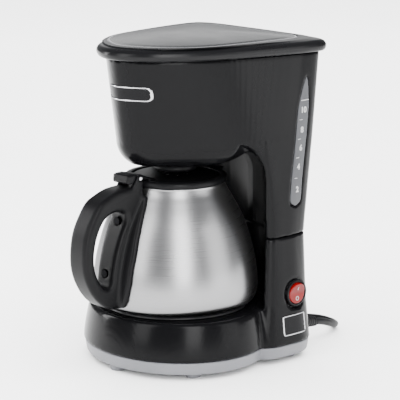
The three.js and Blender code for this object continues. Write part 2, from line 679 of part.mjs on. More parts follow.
add("jug_lid", jugLid(), SATIN_BLACK);
add("jug_lid_pin", bar("x", 1.5, -10.4, 10.4, JUG_PIN.y, JUG_PIN.z, 14), STEEL);

const HANDLE_OUTER = [
  [-44, 150], [-46, 153.4], [-58, 153.6], [-70, 152.4], [-80, 149], [-89, 144.4], [-97.2, 133.7],
  [-103.4, 121.5], [-106, 109], [-106.4, 96], [-104.6, 86], [-101.2, 77.6], [-96, 69],
  [-89, 61.4], [-81, 56.4], [-74, 55], [-66, 56], [-60, 70], [-50, 110], [-40, 140],
];
const HANDLE_HOLE = [
  [-63.5, 133], [-70, 135.4], [-78, 134.6], [-84.6, 130.6], [-90.4, 122], [-94, 112], [-95.6, 101],
  [-94.6, 91], [-91, 82], [-86, 75.4], [-81, 73.6], [-78.4, 77], [-76.6, 88], [-73.4, 101],
  [-68, 115], [-62.4, 127],
];

// The handle's back plate hugs the jug; this is its right half as [x, z], from the bottom up.
const SPINE_HALF = [[14, 55], [18, 62], [20.4, 76], [20.8, 100], [19.4, 118], [16, 136], [13, 146]];
const SPINE_THICK = 3.6;
function handleSpine() {
  const left = SPINE_HALF.map(([x, z]) => [-x, z]).reverse();
  const front = slab([...SPINE_HALF, ...left], 20, 90).rotate([0, 0, -90]);
  return common(cut(jugSolid(SPINE_THICK), jugSolid(0.4)), front);
}

const HANDLE_SCREWS = {
  upper: { z: 126, face: -64, tip: -54 },
  lower: { z: 84, face: -77.6, tip: -68.3 },
};

function jugHandle() {
  const loop = slab(HANDLE_OUTER, -HANDLE_HALF, HANDLE_HALF);
  let body = cut(loop, slab(HANDLE_HOLE, -20, 20), jugSolid(0.4));
  body = cut(join(body, handleSpine()), rod(43.6, 140, 158, 0, 0, 44));
  const earSide = [[-44.2, 150], [-44.2, 161.6], [-46.5, 163.4], [-49.6, 162.4], [-56, 153]];
  for (const [x0, x1] of [[-10.6, -6.8], [6.8, 10.6]]) body = join(body, slab(earSide, x0, x1));
  body = cut(body, bar("x", 1.5 + GAP, -20, 20, JUG_PIN.y, JUG_PIN.z, 16));
  for (const { z, face } of Object.values(HANDLE_SCREWS)) {
    body = cut(body, bar("y", 1.9, face - 8, -30, 0, z, 12));
    body = cut(body, bar("y", 3.5, face - 8, face + 2, 0, z, 16));
  }
  return body;
}
add("jug_handle", jugHandle(), SATIN_BLACK);
for (const [place, { z, face, tip }] of Object.entries(HANDLE_SCREWS)) {
  const head = bar("y", 3.1, face - 0.2, face + 1.6, 0, z, 14);
  add(`handle_screw_${place}`, join(head, bar("y", 1.5, face + 1.5, tip, 0, z, 8)), STEEL);
}

// ---------------------------------------------------------------- wires inside the base
const WIRE_R = 1.1;
const TERMINAL_X = 57.6;
add("wire_switch", tube([
  [EXIT.x + 1.8, 81.4, EXIT.z], [EXIT.x + 1.9, 78.5, EXIT.z + 1.4], [EXIT.x + 3, 73, 36],
  [EXIT.x + 2.4, 69.8, 50], [TERMINAL_X, SWITCH.y + 3.4, SWITCH.z],
], WIRE_R, 14, 6), CORD_BLACK);
add("wire_thermostat", tube([
  [TERMINAL_X, SWITCH.y - 3.4, SWITCH.z], [57, 61.2, 51], [54, 61, 44], [48, 56, 34], [34, 40, 28],
  [20, 18, 26], [8, 0, 24.2], [0, -6, 25.2],
], WIRE_R, 24, 6), CORD_BLACK);
add("wire_neutral", tube([
  [EXIT.x - 1.8, 81.4, EXIT.z], [48, 68, 22], [38, 54, 21], [20, 36, 22], [-2, 26, 23], [-18, 18, 29],
  [-20, 12.6, 36], [-20, 8.6, HEATER.z + 3],
], WIRE_R, 26, 6), CORD_BLACK);

// ---------------------------------------------------------------- mains cord
const RELIEF_END = 112;
add("strain_relief", (() => {
  const profile = [
    [0, 82], [6, 82], [6, 84], [4.4, 84], [4.4, 90.6], [7, 90.6], [7, 92.8], [5.4, 93.6],
    [4.1, RELIEF_END], [0, RELIEF_END],
  ];
  const points = profile.map(([r, y]) => new THREE.Vector2(r, y - EXIT.y));
  const geometry = new THREE.LatheGeometry(points, 20);
  geometry.rotateX(-THREE.MathUtils.degToRad(EXIT.tilt));
  geometry.translate(EXIT.x, EXIT.y, EXIT.z);
  return solidOf(geometry);
})(), CORD_BLACK);

const REST_Z = CORD_D / 2 + 0.2; // height of the cord's centre where it lies on the table
const COIL = { x: -52, y: 140, rIn: 26.2, rOut: 39.8, top: 12 };
const CORD_ROUTE = [
  [EXIT.x, 112.1, 17.7], [55.8, 118, 16.6], [54.8, 126, 14.2], [52.8, 134, 11.2], [49.6, 142, 8.2],
  [45, 149.2, 5.6], [38.4, 155.2, 3.8], [30.2, 158.6, REST_Z], [21.2, 158.8, REST_Z],
  [12.6, 156, REST_Z], [5, 150.2, REST_Z], [-1.4, 143, REST_Z], [-7.4, 135.6, REST_Z],
  [-13.4, 128.4, REST_Z], [-20, 121.4, REST_Z], [-27, 115.4, REST_Z],
];
function coilRing(grow) {
  const rIn = COIL.rIn - grow;
  const rOut = COIL.rOut + grow;
  const top = COIL.top + grow;
  const low = 0.2 - grow;
  return turned([
    [rIn, low], [rOut - 1.5, low], [rOut, 1.5 - grow], [rOut, 8 + grow], [rOut - 3, top],
    [rIn + 3, top], [rIn, 8 + grow], [rIn, low],
  ], 36, COIL.x, COIL.y);
}
add("mains_cord", cut(tube(CORD_ROUTE, CORD_D / 2, 34, 8), coilRing(GAP)), CORD_BLACK);
add("cord_coil", coilRing(0), CORD_BLACK);
const PLUG = { x: -98, y0: 152, y1: 185, z: 8.6 };
add("plug_lead", cut(tube([
  [-82, 126, REST_Z + 4.4], [-85.4, 133, PLUG.z - 0.6], [-90, 139.4, PLUG.z], [-95.4, 144, PLUG.z],
  [PLUG.x, 148, PLUG.z], [PLUG.x, PLUG.y0 - GAP, PLUG.z],
], CORD_D / 2, 10, 8), coilRing(GAP)), CORD_BLACK);
const PIN_X = 5.65; // from the middle of the plug to each flat pin
const pinBox = (side, y0, y1, grow) => {
  const x = PLUG.x + side * PIN_X;
  return box(x - 0.7 - grow, x + 0.7 + grow, y0, y1, PLUG.z - 2.5 - grow, PLUG.z + 2.5 + grow);
};
const plugBlock = (half, halfHeight, y0, y1) =>
  box(PLUG.x - half, PLUG.x + half, y0, y1, PLUG.z - halfHeight, PLUG.z + halfHeight);
add("plug_body", cut(
  join(plugBlock(10, 8.2, PLUG.y0 + 12, PLUG.y1), plugBlock(4.5, 4.5, PLUG.y0, PLUG.y0 + 13)),
  pinBox(-1, PLUG.y1 - 8, PLUG.y1 + 1, GAP),
  pinBox(1, PLUG.y1 - 8, PLUG.y1 + 1, GAP),
), CORD_BLACK);
for (const [name, side] of [["plug_pin_left", -1], ["plug_pin_right", 1]]) {
  add(name, pinBox(side, PLUG.y1 - 7.5, PLUG.y1 + 16, 0), BRASS);
}

const root = new THREE.Group();
root.add(machine);
export default root;
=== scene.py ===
"""The drip coffee maker as it is seen: camera, light, cord and outer shapes."""

import json
import math

import bmesh
import bpy
import numpy as np
from mathutils import Matrix, Vector


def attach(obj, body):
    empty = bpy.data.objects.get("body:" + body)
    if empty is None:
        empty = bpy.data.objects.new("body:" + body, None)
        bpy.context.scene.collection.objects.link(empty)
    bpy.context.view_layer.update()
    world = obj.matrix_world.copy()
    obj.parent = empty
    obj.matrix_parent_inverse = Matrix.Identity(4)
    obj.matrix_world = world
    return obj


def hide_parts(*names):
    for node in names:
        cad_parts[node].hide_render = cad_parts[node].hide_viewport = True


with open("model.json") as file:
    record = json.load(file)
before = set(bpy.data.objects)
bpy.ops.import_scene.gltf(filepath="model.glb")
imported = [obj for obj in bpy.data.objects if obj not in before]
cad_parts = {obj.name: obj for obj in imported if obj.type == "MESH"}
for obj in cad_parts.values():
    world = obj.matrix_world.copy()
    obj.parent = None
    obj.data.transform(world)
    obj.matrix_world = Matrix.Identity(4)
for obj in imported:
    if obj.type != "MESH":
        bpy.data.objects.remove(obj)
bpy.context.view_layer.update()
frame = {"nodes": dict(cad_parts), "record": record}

# ---- units and shared dimensions (mm, about the jug axis)
AXIS_Y = -0.7  # the jug axis in the row frame
BASE_Z, DECK_Z, SEAM_Z = 15.5, 47.0, 106.6
ARCH_Z, BOWL_Z, HEAD_TOP_Z = 188.0, 168.0, 258.0
GAP, WALL = 0.3, 2.5
RECESS_Y, RECESS_R, SPRING_Z, ARCH_R = -10.5, 84.5, 152.0, 66.0
PARTITION_Y = 46.0
PIN_Y, PIN_Z, PIN_R, BARREL_R = 104.2, 262.0, 1.8, 3.6
SWITCH_Y, SWITCH_Z, SWITCH_FACE, SWITCH_POCKET_R = 64.0, 57.5, 78.6, 13.3
EXIT = (56.0, 88.0, 22.0)  # where the cord leaves the housing
HOT_PLATE_R, DRAIN_R = 57.5, 11.5  # holes for the hot plate and for the filter outlet
JUG_PIN_Y, JUG_PIN_Z = -46.5, 160.0  # the jug lid's hinge pin
HOSE_X, HOSE_Y, HOSE_R = 44.0, 74.0, 4.15  # where the two hoses rise in the column
NOZZLE_X, NOZZLE_Y = -20.0, 53.0  # where the riser tube meets the spreader


def metres(points):
    """Points in mm about the jug axis, in metres in the row frame."""
    p = np.asarray(points, float).reshape(-1, 3).copy()
    p[:, 1] += AXIS_Y
    return p / 1000.0


def at(x, y, z):
    return Vector((x / 1000, (y + AXIS_Y) / 1000, z / 1000))


# ---- camera
AZIMUTH, ELEVATION, DISTANCE = math.radians(47.4), math.radians(12.8), 1.5491
right = Vector((math.cos(AZIMUTH), math.sin(AZIMUTH), 0))
back = Vector(
    (math.sin(AZIMUTH) * math.cos(ELEVATION), -math.cos(AZIMUTH) * math.cos(ELEVATION), math.sin(ELEVATION))
)
target = right * 0.0062 + Vector((0, 0.0195 + AXIS_Y / 1000, 0.1305))
camera = bpy.data.objects.new("camera", bpy.data.cameras.new("camera"))
bpy.context.scene.collection.objects.link(camera)
camera.location = target + back * DISTANCE
camera.rotation_euler = back.to_track_quat("Z", "Y").to_euler()
camera.data.lens = 165.3
camera.data.sensor_width = 36.0
bpy.context.scene.camera = camera


# ---- mesh helpers
def link(name, mesh, body, slot, material, *replaced, smooth=True):
    """Adds a piece on a body with its finish, in place of the CAD nodes that it replaces; the slot argument
    is not used.
    """
    mesh.name = name
    obj = bpy.data.objects.new(name, mesh)
    bpy.context.scene.collection.objects.link(obj)
    if smooth:
        mesh.shade_smooth()
    mesh.materials.append(material)
    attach(obj, body)
    if replaced:
        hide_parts(*replaced)
    return obj


def mesh_of(vertices, faces):
    mesh = bpy.data.meshes.new("piece")
    mesh.from_pydata([tuple(v) for v in vertices], [], [tuple(int(i) for i in f) for f in faces])
    mesh.validate()
    mesh.update()
    return mesh


def quads_mesh(vertices, quads):
    """A mesh from arrays of vertices in metres and of quads."""
    mesh = bpy.data.meshes.new("piece")
    mesh.vertices.add(len(vertices))
    mesh.vertices.foreach_set("co", np.asarray(vertices, np.float32).ravel())
    mesh.loops.add(len(quads) * 4)
    mesh.loops.foreach_set("vertex_index", np.asarray(quads, np.int32).ravel())
    mesh.polygons.add(len(quads))
    mesh.polygons.foreach_set("loop_start", np.arange(0, len(quads) * 4, 4, dtype=np.int32))
    mesh.polygons.foreach_set("loop_total", np.full(len(quads), 4, np.int32))
    mesh.update(calc_edges=True)
    mesh.validate()
    return mesh


def row_faces(rows, count, closed=True, looped=False):
    """Quads between rows of count points; closed joins a row's ends, looped the last row to the first."""
    faces = []
    for r in range(rows if looped else rows - 1):
        low, high = r * count, (r + 1) % rows * count
        for i in range(count if closed else count - 1):
            j = (i + 1) % count
            faces.append((low + i, low + j, high + j, high + i))
    return faces


def surface_nets(field, origin, cell):
    """Vertices (mm) and quads of the surface where a sampled signed distance changes sign."""
    inside = field < 0
    shape = np.array(field.shape)
    cells = shape - 1
    total = np.zeros((*cells, 3), np.float32)
    count = np.zeros(cells, np.float32)
    crossings = []
    for axis in range(3):
        low = [slice(None)] * 3
        high = [slice(None)] * 3
        low[axis], high[axis] = slice(0, -1), slice(1, None)
        a, b = field[tuple(low)], field[tuple(high)]
        crosses = inside[tuple(low)] != inside[tuple(high)]
        t = np.where(crosses, a / np.where(crosses, a - b, 1), 0).astype(np.float32)
        crossings.append((crosses, inside[tuple(low)]))
        others = [i for i in range(3) if i != axis]
        for d0 in (0, 1):
            for d1 in (0, 1):
                part = [slice(None)] * 3
                part[others[0]] = slice(d0, cells[others[0]] + d0)
                part[others[1]] = slice(d1, cells[others[1]] + d1)
                m = crosses[tuple(part)]
                count += m
                total[..., axis] += np.where(m, t[tuple(part)], 0)
                total[..., others[0]] += m * d0
                total[..., others[1]] += m * d1
    active = count > 0
    index = np.full(cells, -1, np.int64)
    index[active] = np.arange(active.sum())
    where = np.argwhere(active)
    vertices = where + total[active] / count[active][:, None]
    quads = []
    for axis in range(3):
        crosses, starts_inside = crossings[axis]
        u, v = (axis + 1) % 3, (axis + 2) % 3
        inner = [slice(None)] * 3
        inner[u], inner[v] = slice(1, -1), slice(1, -1)
        found = np.argwhere(crosses[tuple(inner)])
        found[:, u] += 1
        found[:, v] += 1
        outward = starts_inside[tuple(found.T)]
        corners = []
        for du, dv in ((-1, -1), (0, -1), (0, 0), (-1, 0)):
            c = found.copy()
            c[:, u] += du
            c[:, v] += dv
            corners.append(index[tuple(c.T)])
        quad = np.stack(corners, 1)
        quad[~outward] = quad[~outward][:, ::-1]
        quads.append(quad)
    quads = np.concatenate(quads)
    # settle each vertex on the surface
    for _ in range(2):
        value, slope = sample(field, vertices)
        step = value / np.maximum((slope**2).sum(1), 0.05)
        vertices = vertices - np.clip(step, -0.5, 0.5)[:, None] * slope
        vertices = np.clip(vertices, 0, shape - 1.001)
    return vertices * cell + np.asarray(origin), quads


def sample(field, points):
    """The value and slope of a sampled field at points given in grid steps."""
    base = np.floor(points).astype(int)
    base = np.clip(base, 0, np.array(field.shape) - 2)
    f = points - base
    c = {}
    for i in (0, 1):
        for j in (0, 1):
            for k in (0, 1):
                c[i, j, k] = field[base[:, 0] + i, base[:, 1] + j, base[:, 2] + k]
    wx, wy, wz = ((1 - f[:, a], f[:, a]) for a in range(3))
    value = sum(c[i, j, k] * wx[i] * wy[j] * wz[k] for i in (0, 1) for j in (0, 1) for k in (0, 1))
    gx = sum((c[1, j, k] - c[0, j, k]) * wy[j] * wz[k] for j in (0, 1) for k in (0, 1))
    gy = sum((c[i, 1, k] - c[i, 0, k]) * wx[i] * wz[k] for i in (0, 1) for k in (0, 1))
    gz = sum((c[i, j, 1] - c[i, j, 0]) * wx[i] * wy[j] for i in (0, 1) for j in (0, 1))
    return value, np.stack([gx, gy, gz], 1)


class Grid:
    """A box of sample points, in mm about the jug axis."""

    def __init__(self, low, high, cell):
        self.origin, self.cell = np.array(low, float), cell
        self.n = (np.ceil((np.array(high) - self.origin) / cell)).astype(int) + 1
        self.xs, self.ys, self.zs = (self.origin[i] + cell * np.arange(self.n[i]) for i in range(3))
        self.x = self.xs[:, None, None]
        self.y = self.ys[None, :, None]
        self.z = self.zs[None, None, :]

    def mesh(self, field):
        field = np.broadcast_to(field, tuple(self.n)).astype(np.float32).copy()
        for i in range(3):
            for edge in (0, -1):
                part = [slice(None)] * 3
                part[i] = edge
                field[tuple(part)] = np.maximum(field[tuple(part)], self.cell * 0.3)
        vertices, quads = surface_nets(field, self.origin, self.cell)
        return quads_mesh(metres(vertices), quads)

    def outline(self, levels):
        """A stack of (z, outline) as one distance field, straight between the levels."""
        flat = [outline_distance(self.xs, self.ys, points) for _, points in levels]
        heights = np.array([z for z, _ in levels])
        out = np.empty(tuple(self.n), np.float32)
        for k, z in enumerate(self.zs):
            z = min(max(z, heights[0]), heights[-1])
            i = min(max(int(np.searchsorted(heights, z)) - 1, 0), len(levels) - 2)
            t = (z - heights[i]) / (heights[i + 1] - heights[i])
            out[:, :, k] = flat[i] * (1 - t) + flat[i + 1] * t
        return out


def outline_distance(xs, ys, points):
    """Signed distance from each (x, y) of a grid to a closed outline."""
    px, py = np.meshgrid(xs, ys, indexing="ij")
    best = np.full(px.shape, 1e9)
    odd = np.zeros(px.shape, bool)
    points = np.asarray(points, float)
    for (ax, ay), (bx, by) in zip(points, np.roll(points, -1, 0)):
        ex, ey = bx - ax, by - ay
        wx, wy = px - ax, py - ay
        t = np.clip((wx * ex + wy * ey) / max(ex * ex + ey * ey, 1e-12), 0, 1)
        best = np.minimum(best, (wx - t * ex) ** 2 + (wy - t * ey) ** 2)
        if ay != by:
            odd ^= ((ay > py) != (by > py)) & (px < ax + (py - ay) * ex / ey)
    return np.where(odd, -1, 1) * np.sqrt(best)


def union(a, b, k=0.0):
    if not k:
        return np.minimum(a, b)
    h = np.clip(0.5 + 0.5 * (b - a) / k, 0, 1)
    return b * (1 - h) + a * h - k * h * (1 - h)


def both(a, b, k=0.0):
    return -union(-a, -b, k)


def less(a, b, k=0.0):
    return both(a, -b, k)


def block(g, low, high, r=0.0):
    """A box with rounded edges."""
    centre = (np.array(low) + np.array(high)) / 2
    half = (np.array(high) - np.array(low)) / 2 - r
    q = [np.abs(c - m) - h for c, m, h in zip((g.x, g.y, g.z), centre, half)]
    outside = np.sqrt(sum(np.maximum(v, 0) ** 2 for v in q))
    return outside + np.minimum(np.maximum(np.maximum(q[0], q[1]), q[2]), 0) - r


def rod(g, axis, radius, low, high, c0, c1, r=0.0):
    """A cylinder along an axis; c0 and c1 are its centre on the other two, in order."""
    coords = [g.x, g.y, g.z]
    along = coords.pop(axis)
    radial = np.sqrt((coords[0] - c0) ** 2 + (coords[1] - c1) ** 2) - radius + r
    ends = np.abs(along - (low + high) / 2) - (high - low) / 2 + r
    return np.minimum(np.maximum(radial, ends), 0) + np.hypot(
        np.maximum(radial, 0), np.maximum(ends, 0)
    ) - r


def slab(g, outline, half, r=0.0, centre=0.0):
    """A flat (y, z) outline pushed half to each side along X, with rounded edges."""
    flat = outline_distance(g.ys, g.zs, outline)[None] + r
    ends = np.abs(g.x - centre) - half + r
    return np.minimum(np.maximum(flat, ends), 0) + np.hypot(np.maximum(flat, 0), np.maximum(ends, 0)) - r


def turned_distance(g, profile, cx=0.0, cy=0.0):
    """The distance field of a closed (radius, height) profile turned about a vertical line."""
    radius = np.hypot(g.x - cx, g.y - cy) * np.ones((1, 1, 1))
    rs = np.arange(0, radius.max() + g.cell, g.cell / 2)
    table = outline_distance(rs, g.zs, profile)
    i = np.clip((radius[:, :, 0] / (g.cell / 2)), 0, len(rs) - 1.001)
    low = np.floor(i).astype(int)
    t = (i - low)[..., None]
    return table[low] * (1 - t) + table[low + 1] * t


def spline(points, count, closed=False):
    """Centripetal Catmull-Rom through points."""
    p = np.asarray(points, float)
    n = len(p)
    spans = n if closed else n - 1
    out = []
    for s in np.linspace(0, spans, count, endpoint=not closed):
        i = min(int(s), spans - 1)
        t = s - i
        if closed:
            a, b, c, d = p[(i - 1) % n], p[i % n], p[(i + 1) % n], p[(i + 2) % n]
        else:
            b, c = p[i], p[i + 1]
            a = p[i - 1] if i else 2 * b - c
            d = p[i + 2] if i + 2 < n else 2 * c - b
        k0, k1, k2 = (max(np.linalg.norm(v - u), 1e-9) ** 0.5 for u, v in ((a, b), (b, c), (c, d)))
        m1 = ((b - a) / k0 - (c - a) / (k0 + k1) + (c - b) / k1) * k1
        m2 = ((c - b) / k1 - (d - b) / (k1 + k2) + (d - c) / k2) * k1
        out.append(b + m1 * t + (3 * (c - b) - 2 * m1 - m2) * t**2 + (2 * (b - c) + m1 + m2) * t**3)
    return np.array(out)


def mirrored(half, count=320):
    """A whole outline from its right half, front to back."""
    left = [(-x, y) for x, y in half[1:-1][::-1]]
    return spline(list(half) + left, count, closed=True)


def round_circle(count, offset=0):
    """Cosine and sine of even steps round a circle."""
    angles = [(i + offset) / count * 2 * math.pi for i in range(count)]
    return [(math.cos(a), math.sin(a)) for a in angles]


def mix(a, b, t):
    return [(p[0] + (q[0] - p[0]) * t, p[1] + (q[1] - p[1]) * t) for p, q in zip(a, b)]


def rounded(profile, corners):
    """A profile with some corners, given by index, turned into arcs of a radius."""
    out = []
    for i, p in enumerate(profile):
        p = np.array(p, float)
        r = corners.get(i)
        if not r:
            out.append(p)
            continue
        a, b = np.array(profile[i - 1], float), np.array(profile[(i + 1) % len(profile)], float)
        u, v = (a - p) / np.linalg.norm(a - p), (b - p) / np.linalg.norm(b - p)
        start, end = p + u * r, p + v * r
        for t in np.linspace(0, 1, 7):
            out.append((1 - t) ** 2 * start + 2 * t * (1 - t) * p + t * t * end)
    return out


def lathe(profile, segments=96, cx=0.0, cy=0.0, axis="z", place=None):
    """A profile of (radius, height) turned about a line; a closed profile repeats its first point."""
    profile = [tuple(p) for p in profile]
    closed = np.allclose(profile[0], profile[-1])
    rows = profile[:-1] if closed else profile
    vertices, rings = [], []
    for r, h in rows:
        if r < 1e-6:
            rings.append([len(vertices)] * segments)
            vertices.append((0, 0, h))
            continue
        start = len(vertices)
        for i in range(segments):
            a = 2 * math.pi * i / segments
            vertices.append((r * math.cos(a), r * math.sin(a), h))
        rings.append(list(range(start, start + segments)))
    faces = []
    pairs = list(zip(rings, rings[1:])) + ([(rings[-1], rings[0])] if closed else [])
    for low, high in pairs:
        for i in range(segments):
            j = (i + 1) % segments
            face = [low[i], low[j], high[j], high[i]]
            face = [v for k, v in enumerate(face) if v != face[k - 1]]
            if len(face) > 2:
                faces.append(face)
    v = np.array(vertices, float)
    if axis == "x":
        v = v[:, [2, 0, 1]]
    elif axis == "y":
        v = v[:, [1, 2, 0]]
    if place is not None:
        v = np.array([place @ Vector(p) for p in v])
    else:
        v[:, 0] += cx
        v[:, 1] += cy
    return mesh_of(metres(v), faces)


# ---- materials
def put(node, **values):
    """Sets inputs of a node; an underscore in a keyword stands for a space."""
    for key, value in values.items():
        node.inputs[key.replace("_", " ")].default_value = value


def shader(name):
    m = bpy.data.materials.new(name)
    m.use_nodes = True
    tree = m.node_tree
    return m, tree, tree.nodes["Principled BSDF"]


def texture(tree, kind, scale, stretch=(1, 1, 1), **settings):
    """A procedural texture on object coordinates, in repeats per metre."""
    coordinates = tree.nodes.new("ShaderNodeTexCoord")
    mapping = tree.nodes.new("ShaderNodeMapping")
    put(mapping, Scale=stretch)
    node = tree.nodes.new(kind)
    put(node, Scale=scale, **settings)
    tree.links.new(coordinates.outputs["Object"], mapping.inputs["Vector"])
    tree.links.new(mapping.outputs["Vector"], node.inputs["Vector"])
    return node


def ramp(tree, source, low, high, low_at=0.15, high_at=0.85):
    """Remaps a 0 to 1 value to a range."""
    node = tree.nodes.new("ShaderNodeMapRange")
    put(node, From_Min=low_at, From_Max=high_at, To_Min=low, To_Max=high)
    tree.links.new(source, node.inputs["Value"])
    return node.outputs["Result"]


def tinted(tree, source, dark, light):
    node = tree.nodes.new("ShaderNodeValToRGB")
    node.color_ramp.interpolation = "EASE"
    node.color_ramp.elements[0].position = 0.15
    node.color_ramp.elements[1].position = 0.85
    node.color_ramp.elements[0].color = (*dark, 1)
    node.color_ramp.elements[1].color = (*light, 1)
    tree.links.new(source, node.inputs["Fac"])
    return node.outputs["Color"]


def bumped(tree, bsdf, source, strength, distance):
    node = tree.nodes.new("ShaderNodeBump")
    put(node, Strength=strength, Distance=distance)
    tree.links.new(source, node.inputs["Height"])
    tree.links.new(node.outputs["Normal"], bsdf.inputs["Normal"])


def coated(tree, bsdf, source, rough, spread, colour, darker, lighter):
    """Lets the gloss and the colour drift with a 0 to 1 value."""
    tree.links.new(ramp(tree, source, rough - spread, rough + spread), bsdf.inputs["Roughness"])
    dark, light = tuple(c * darker for c in colour), tuple(min(1, c * lighter) for c in colour)
    tree.links.new(tinted(tree, source, dark, light), bsdf.inputs["Base Color"])


def plastic(name, colour, rough, grain=900, grain_depth=0.00003, spread=0.05, specular=0.5):
    """Moulded plastic: a fine grain, faint smudges in its gloss and a slight drift in its colour."""
    m, tree, bsdf = shader(name)
    fine = texture(tree, "ShaderNodeTexNoise", grain, Detail=2.0)
    smudge = texture(tree, "ShaderNodeTexNoise", 22, Detail=5.0, Roughness=0.6)
    coated(tree, bsdf, smudge.outputs["Fac"], rough, spread, colour, 0.88, 1.1)
    bumped(tree, bsdf, fine.outputs["Fac"], 0.25, grain_depth)
    put(bsdf, Specular_IOR_Level=specular)
    return m


def brushed(name, colour, rough, stretch, anisotropic=0.0, depth=0.00001, spread=0.045):
    """Brushed metal: fine streaks in height, gloss and brightness along the brushing."""
    m, tree, bsdf = shader(name)
    streaks = texture(tree, "ShaderNodeTexNoise", 1.0, stretch=stretch, Detail=3.0, Roughness=0.65)
    cloud = texture(tree, "ShaderNodeTexNoise", 14, Detail=3.0)
    both_ways = tree.nodes.new("ShaderNodeMath")
    both_ways.operation = "MULTIPLY_ADD"
    both_ways.inputs[1].default_value = 0.7
    tree.links.new(streaks.outputs["Fac"], both_ways.inputs[0])
    scaled = tree.nodes.new("ShaderNodeMath")
    scaled.operation = "MULTIPLY"
    scaled.inputs[1].default_value = 0.3
    tree.links.new(cloud.outputs["Fac"], scaled.inputs[0])
    tree.links.new(scaled.outputs[0], both_ways.inputs[2])
    coated(tree, bsdf, both_ways.outputs[0], rough, spread, colour, 0.95, 1.03)
    bumped(tree, bsdf, streaks.outputs["Fac"], 0.3, depth)
    put(bsdf, Metallic=1.0, Specular_Tint=(0.45, 0.45, 0.45, 1), Anisotropic=anisotropic)
    if anisotropic:
        tangent = tree.nodes.new("ShaderNodeTangent")
        tangent.direction_type = "RADIAL"
        tangent.axis = "Z"
        tree.links.new(tangent.outputs[0], bsdf.inputs["Tangent"])
    return m


body_black = plastic(
    "body_black", (0.002, 0.002, 0.0023), 0.2, grain=1400, grain_depth=0.000001, spread=0.02, specular=0.07
)
satin_black = plastic(
    "satin_black", (0.003, 0.003, 0.0034), 0.38, grain=1100, grain_depth=0.00003, specular=0.08
)
lid_black = plastic(
    "lid_black", (0.003, 0.003, 0.0034), 0.28, grain=1200, grain_depth=0.00001, specular=0.12
)
lid_panel = plastic(
    "lid_panel", (0.006, 0.0062, 0.0068), 0.24, grain=1400, grain_depth=0.000003, specular=0.35
)
# the lighter grey on the bead round the lid panel is a painted highlight line, not a part of another colour
lid_painted_highlight = plastic("lid_painted_highlight", (0.13, 0.13, 0.135), 0.3, grain=1400, grain_depth=0.00002)
screw_black = brushed("blackened_steel", (0.008, 0.008, 0.0085), 0.4, (300, 300, 900))
inner_black = plastic("inner_black", (0.01, 0.01, 0.0105), 0.55, grain=800, grain_depth=0.00006)
handle_black = plastic(
    "handle_black", (0.0025, 0.0025, 0.0028), 0.36, grain=1000, grain_depth=0.00003, specular=0.08
)
plate_grey = plastic("plate_grey", (0.105, 0.107, 0.117), 0.45, grain=900, grain_depth=0.00004)
hot_coating = plastic(
    "hot_coating", (0.008, 0.008, 0.009), 0.38, grain=700, grain_depth=0.00006, specular=0.2
)
steel = brushed(
    "brushed_steel", (0.22, 0.22, 0.223), 0.28, (14, 14, 2600), anisotropic=0.4, depth=0.000001, spread=0.02
)
small_steel = brushed("small_steel", (0.55, 0.55, 0.56), 0.32, (300, 300, 900))
aluminium = brushed("aluminium", (0.5, 0.51, 0.52), 0.42, (60, 60, 400), depth=0.00004)
silver = brushed("silver_foil", (0.4, 0.4, 0.41), 0.25, (900, 60, 60), depth=0.00001)
brass = brushed("brass", (0.63, 0.45, 0.16), 0.3, (400, 60, 400))
silicone = plastic("silicone", (0.62, 0.6, 0.55), 0.5, grain=500, grain_depth=0.00008)
cord_black = plastic(
    "cord_black", (0.004, 0.004, 0.0044), 0.5, grain=700, grain_depth=0.00005, specular=0.16
)
ceramic = plastic("ceramic", (0.7, 0.67, 0.6), 0.6, grain=600, grain_depth=0.0001)
badge_dark = plastic(
    "badge_dark", (0.002, 0.002, 0.0025), 0.2, grain=1500, grain_depth=0.00001, specular=0.08
)
badge_print = plastic("badge_print", (0.3, 0.3, 0.3), 0.45, grain=1500, grain_depth=0.00001)


# the red rocker: glossy red plastic, with a faint emission that is a painted glow brightening it
def red_rocker_painted_glow():
    m, tree, bsdf = shader("red_rocker_painted_glow")
    fine = texture(tree, "ShaderNodeTexVoronoi", 700)
    cloud = texture(tree, "ShaderNodeTexNoise", 160, Detail=3.0)
    tree.links.new(
        tinted(tree, cloud.outputs["Fac"], (0.07, 0.0, 0.0), (0.11, 0.0, 0.0)), bsdf.inputs["Base Color"]
    )
    tree.links.new(ramp(tree, fine.outputs["Distance"], 0.12, 0.22, 0, 1), bsdf.inputs["Roughness"])
    bumped(tree, bsdf, fine.outputs["Distance"], 0.15, 0.00004)
    # the emission is a painted glow that brightens the red
    put(bsdf, Specular_IOR_Level=0.2, Emission_Color=(1.0, 0.005, 0.005, 1), Emission_Strength=0.08)
    return m


def window_smoke():
    m, tree, bsdf = shader("window_smoke")
    cloud = texture(tree, "ShaderNodeTexNoise", 40, stretch=(1, 1, 0.25), Detail=4.0)
    fine = texture(tree, "ShaderNodeTexNoise", 1200, Detail=1.0)
    tree.links.new(
        tinted(tree, cloud.outputs["Fac"], (0.035, 0.036, 0.04), (0.06, 0.062, 0.067)),
        bsdf.inputs["Base Color"]
    )
    tree.links.new(ramp(tree, cloud.outputs["Fac"], 0.16, 0.3), bsdf.inputs["Roughness"])
    bumped(tree, bsdf, fine.outputs["Fac"], 0.2, 0.00002)
    put(bsdf, Specular_IOR_Level=0.15, Transmission_Weight=0.15)
    return m


red_lens = red_rocker_painted_glow()
window_grey = window_smoke()

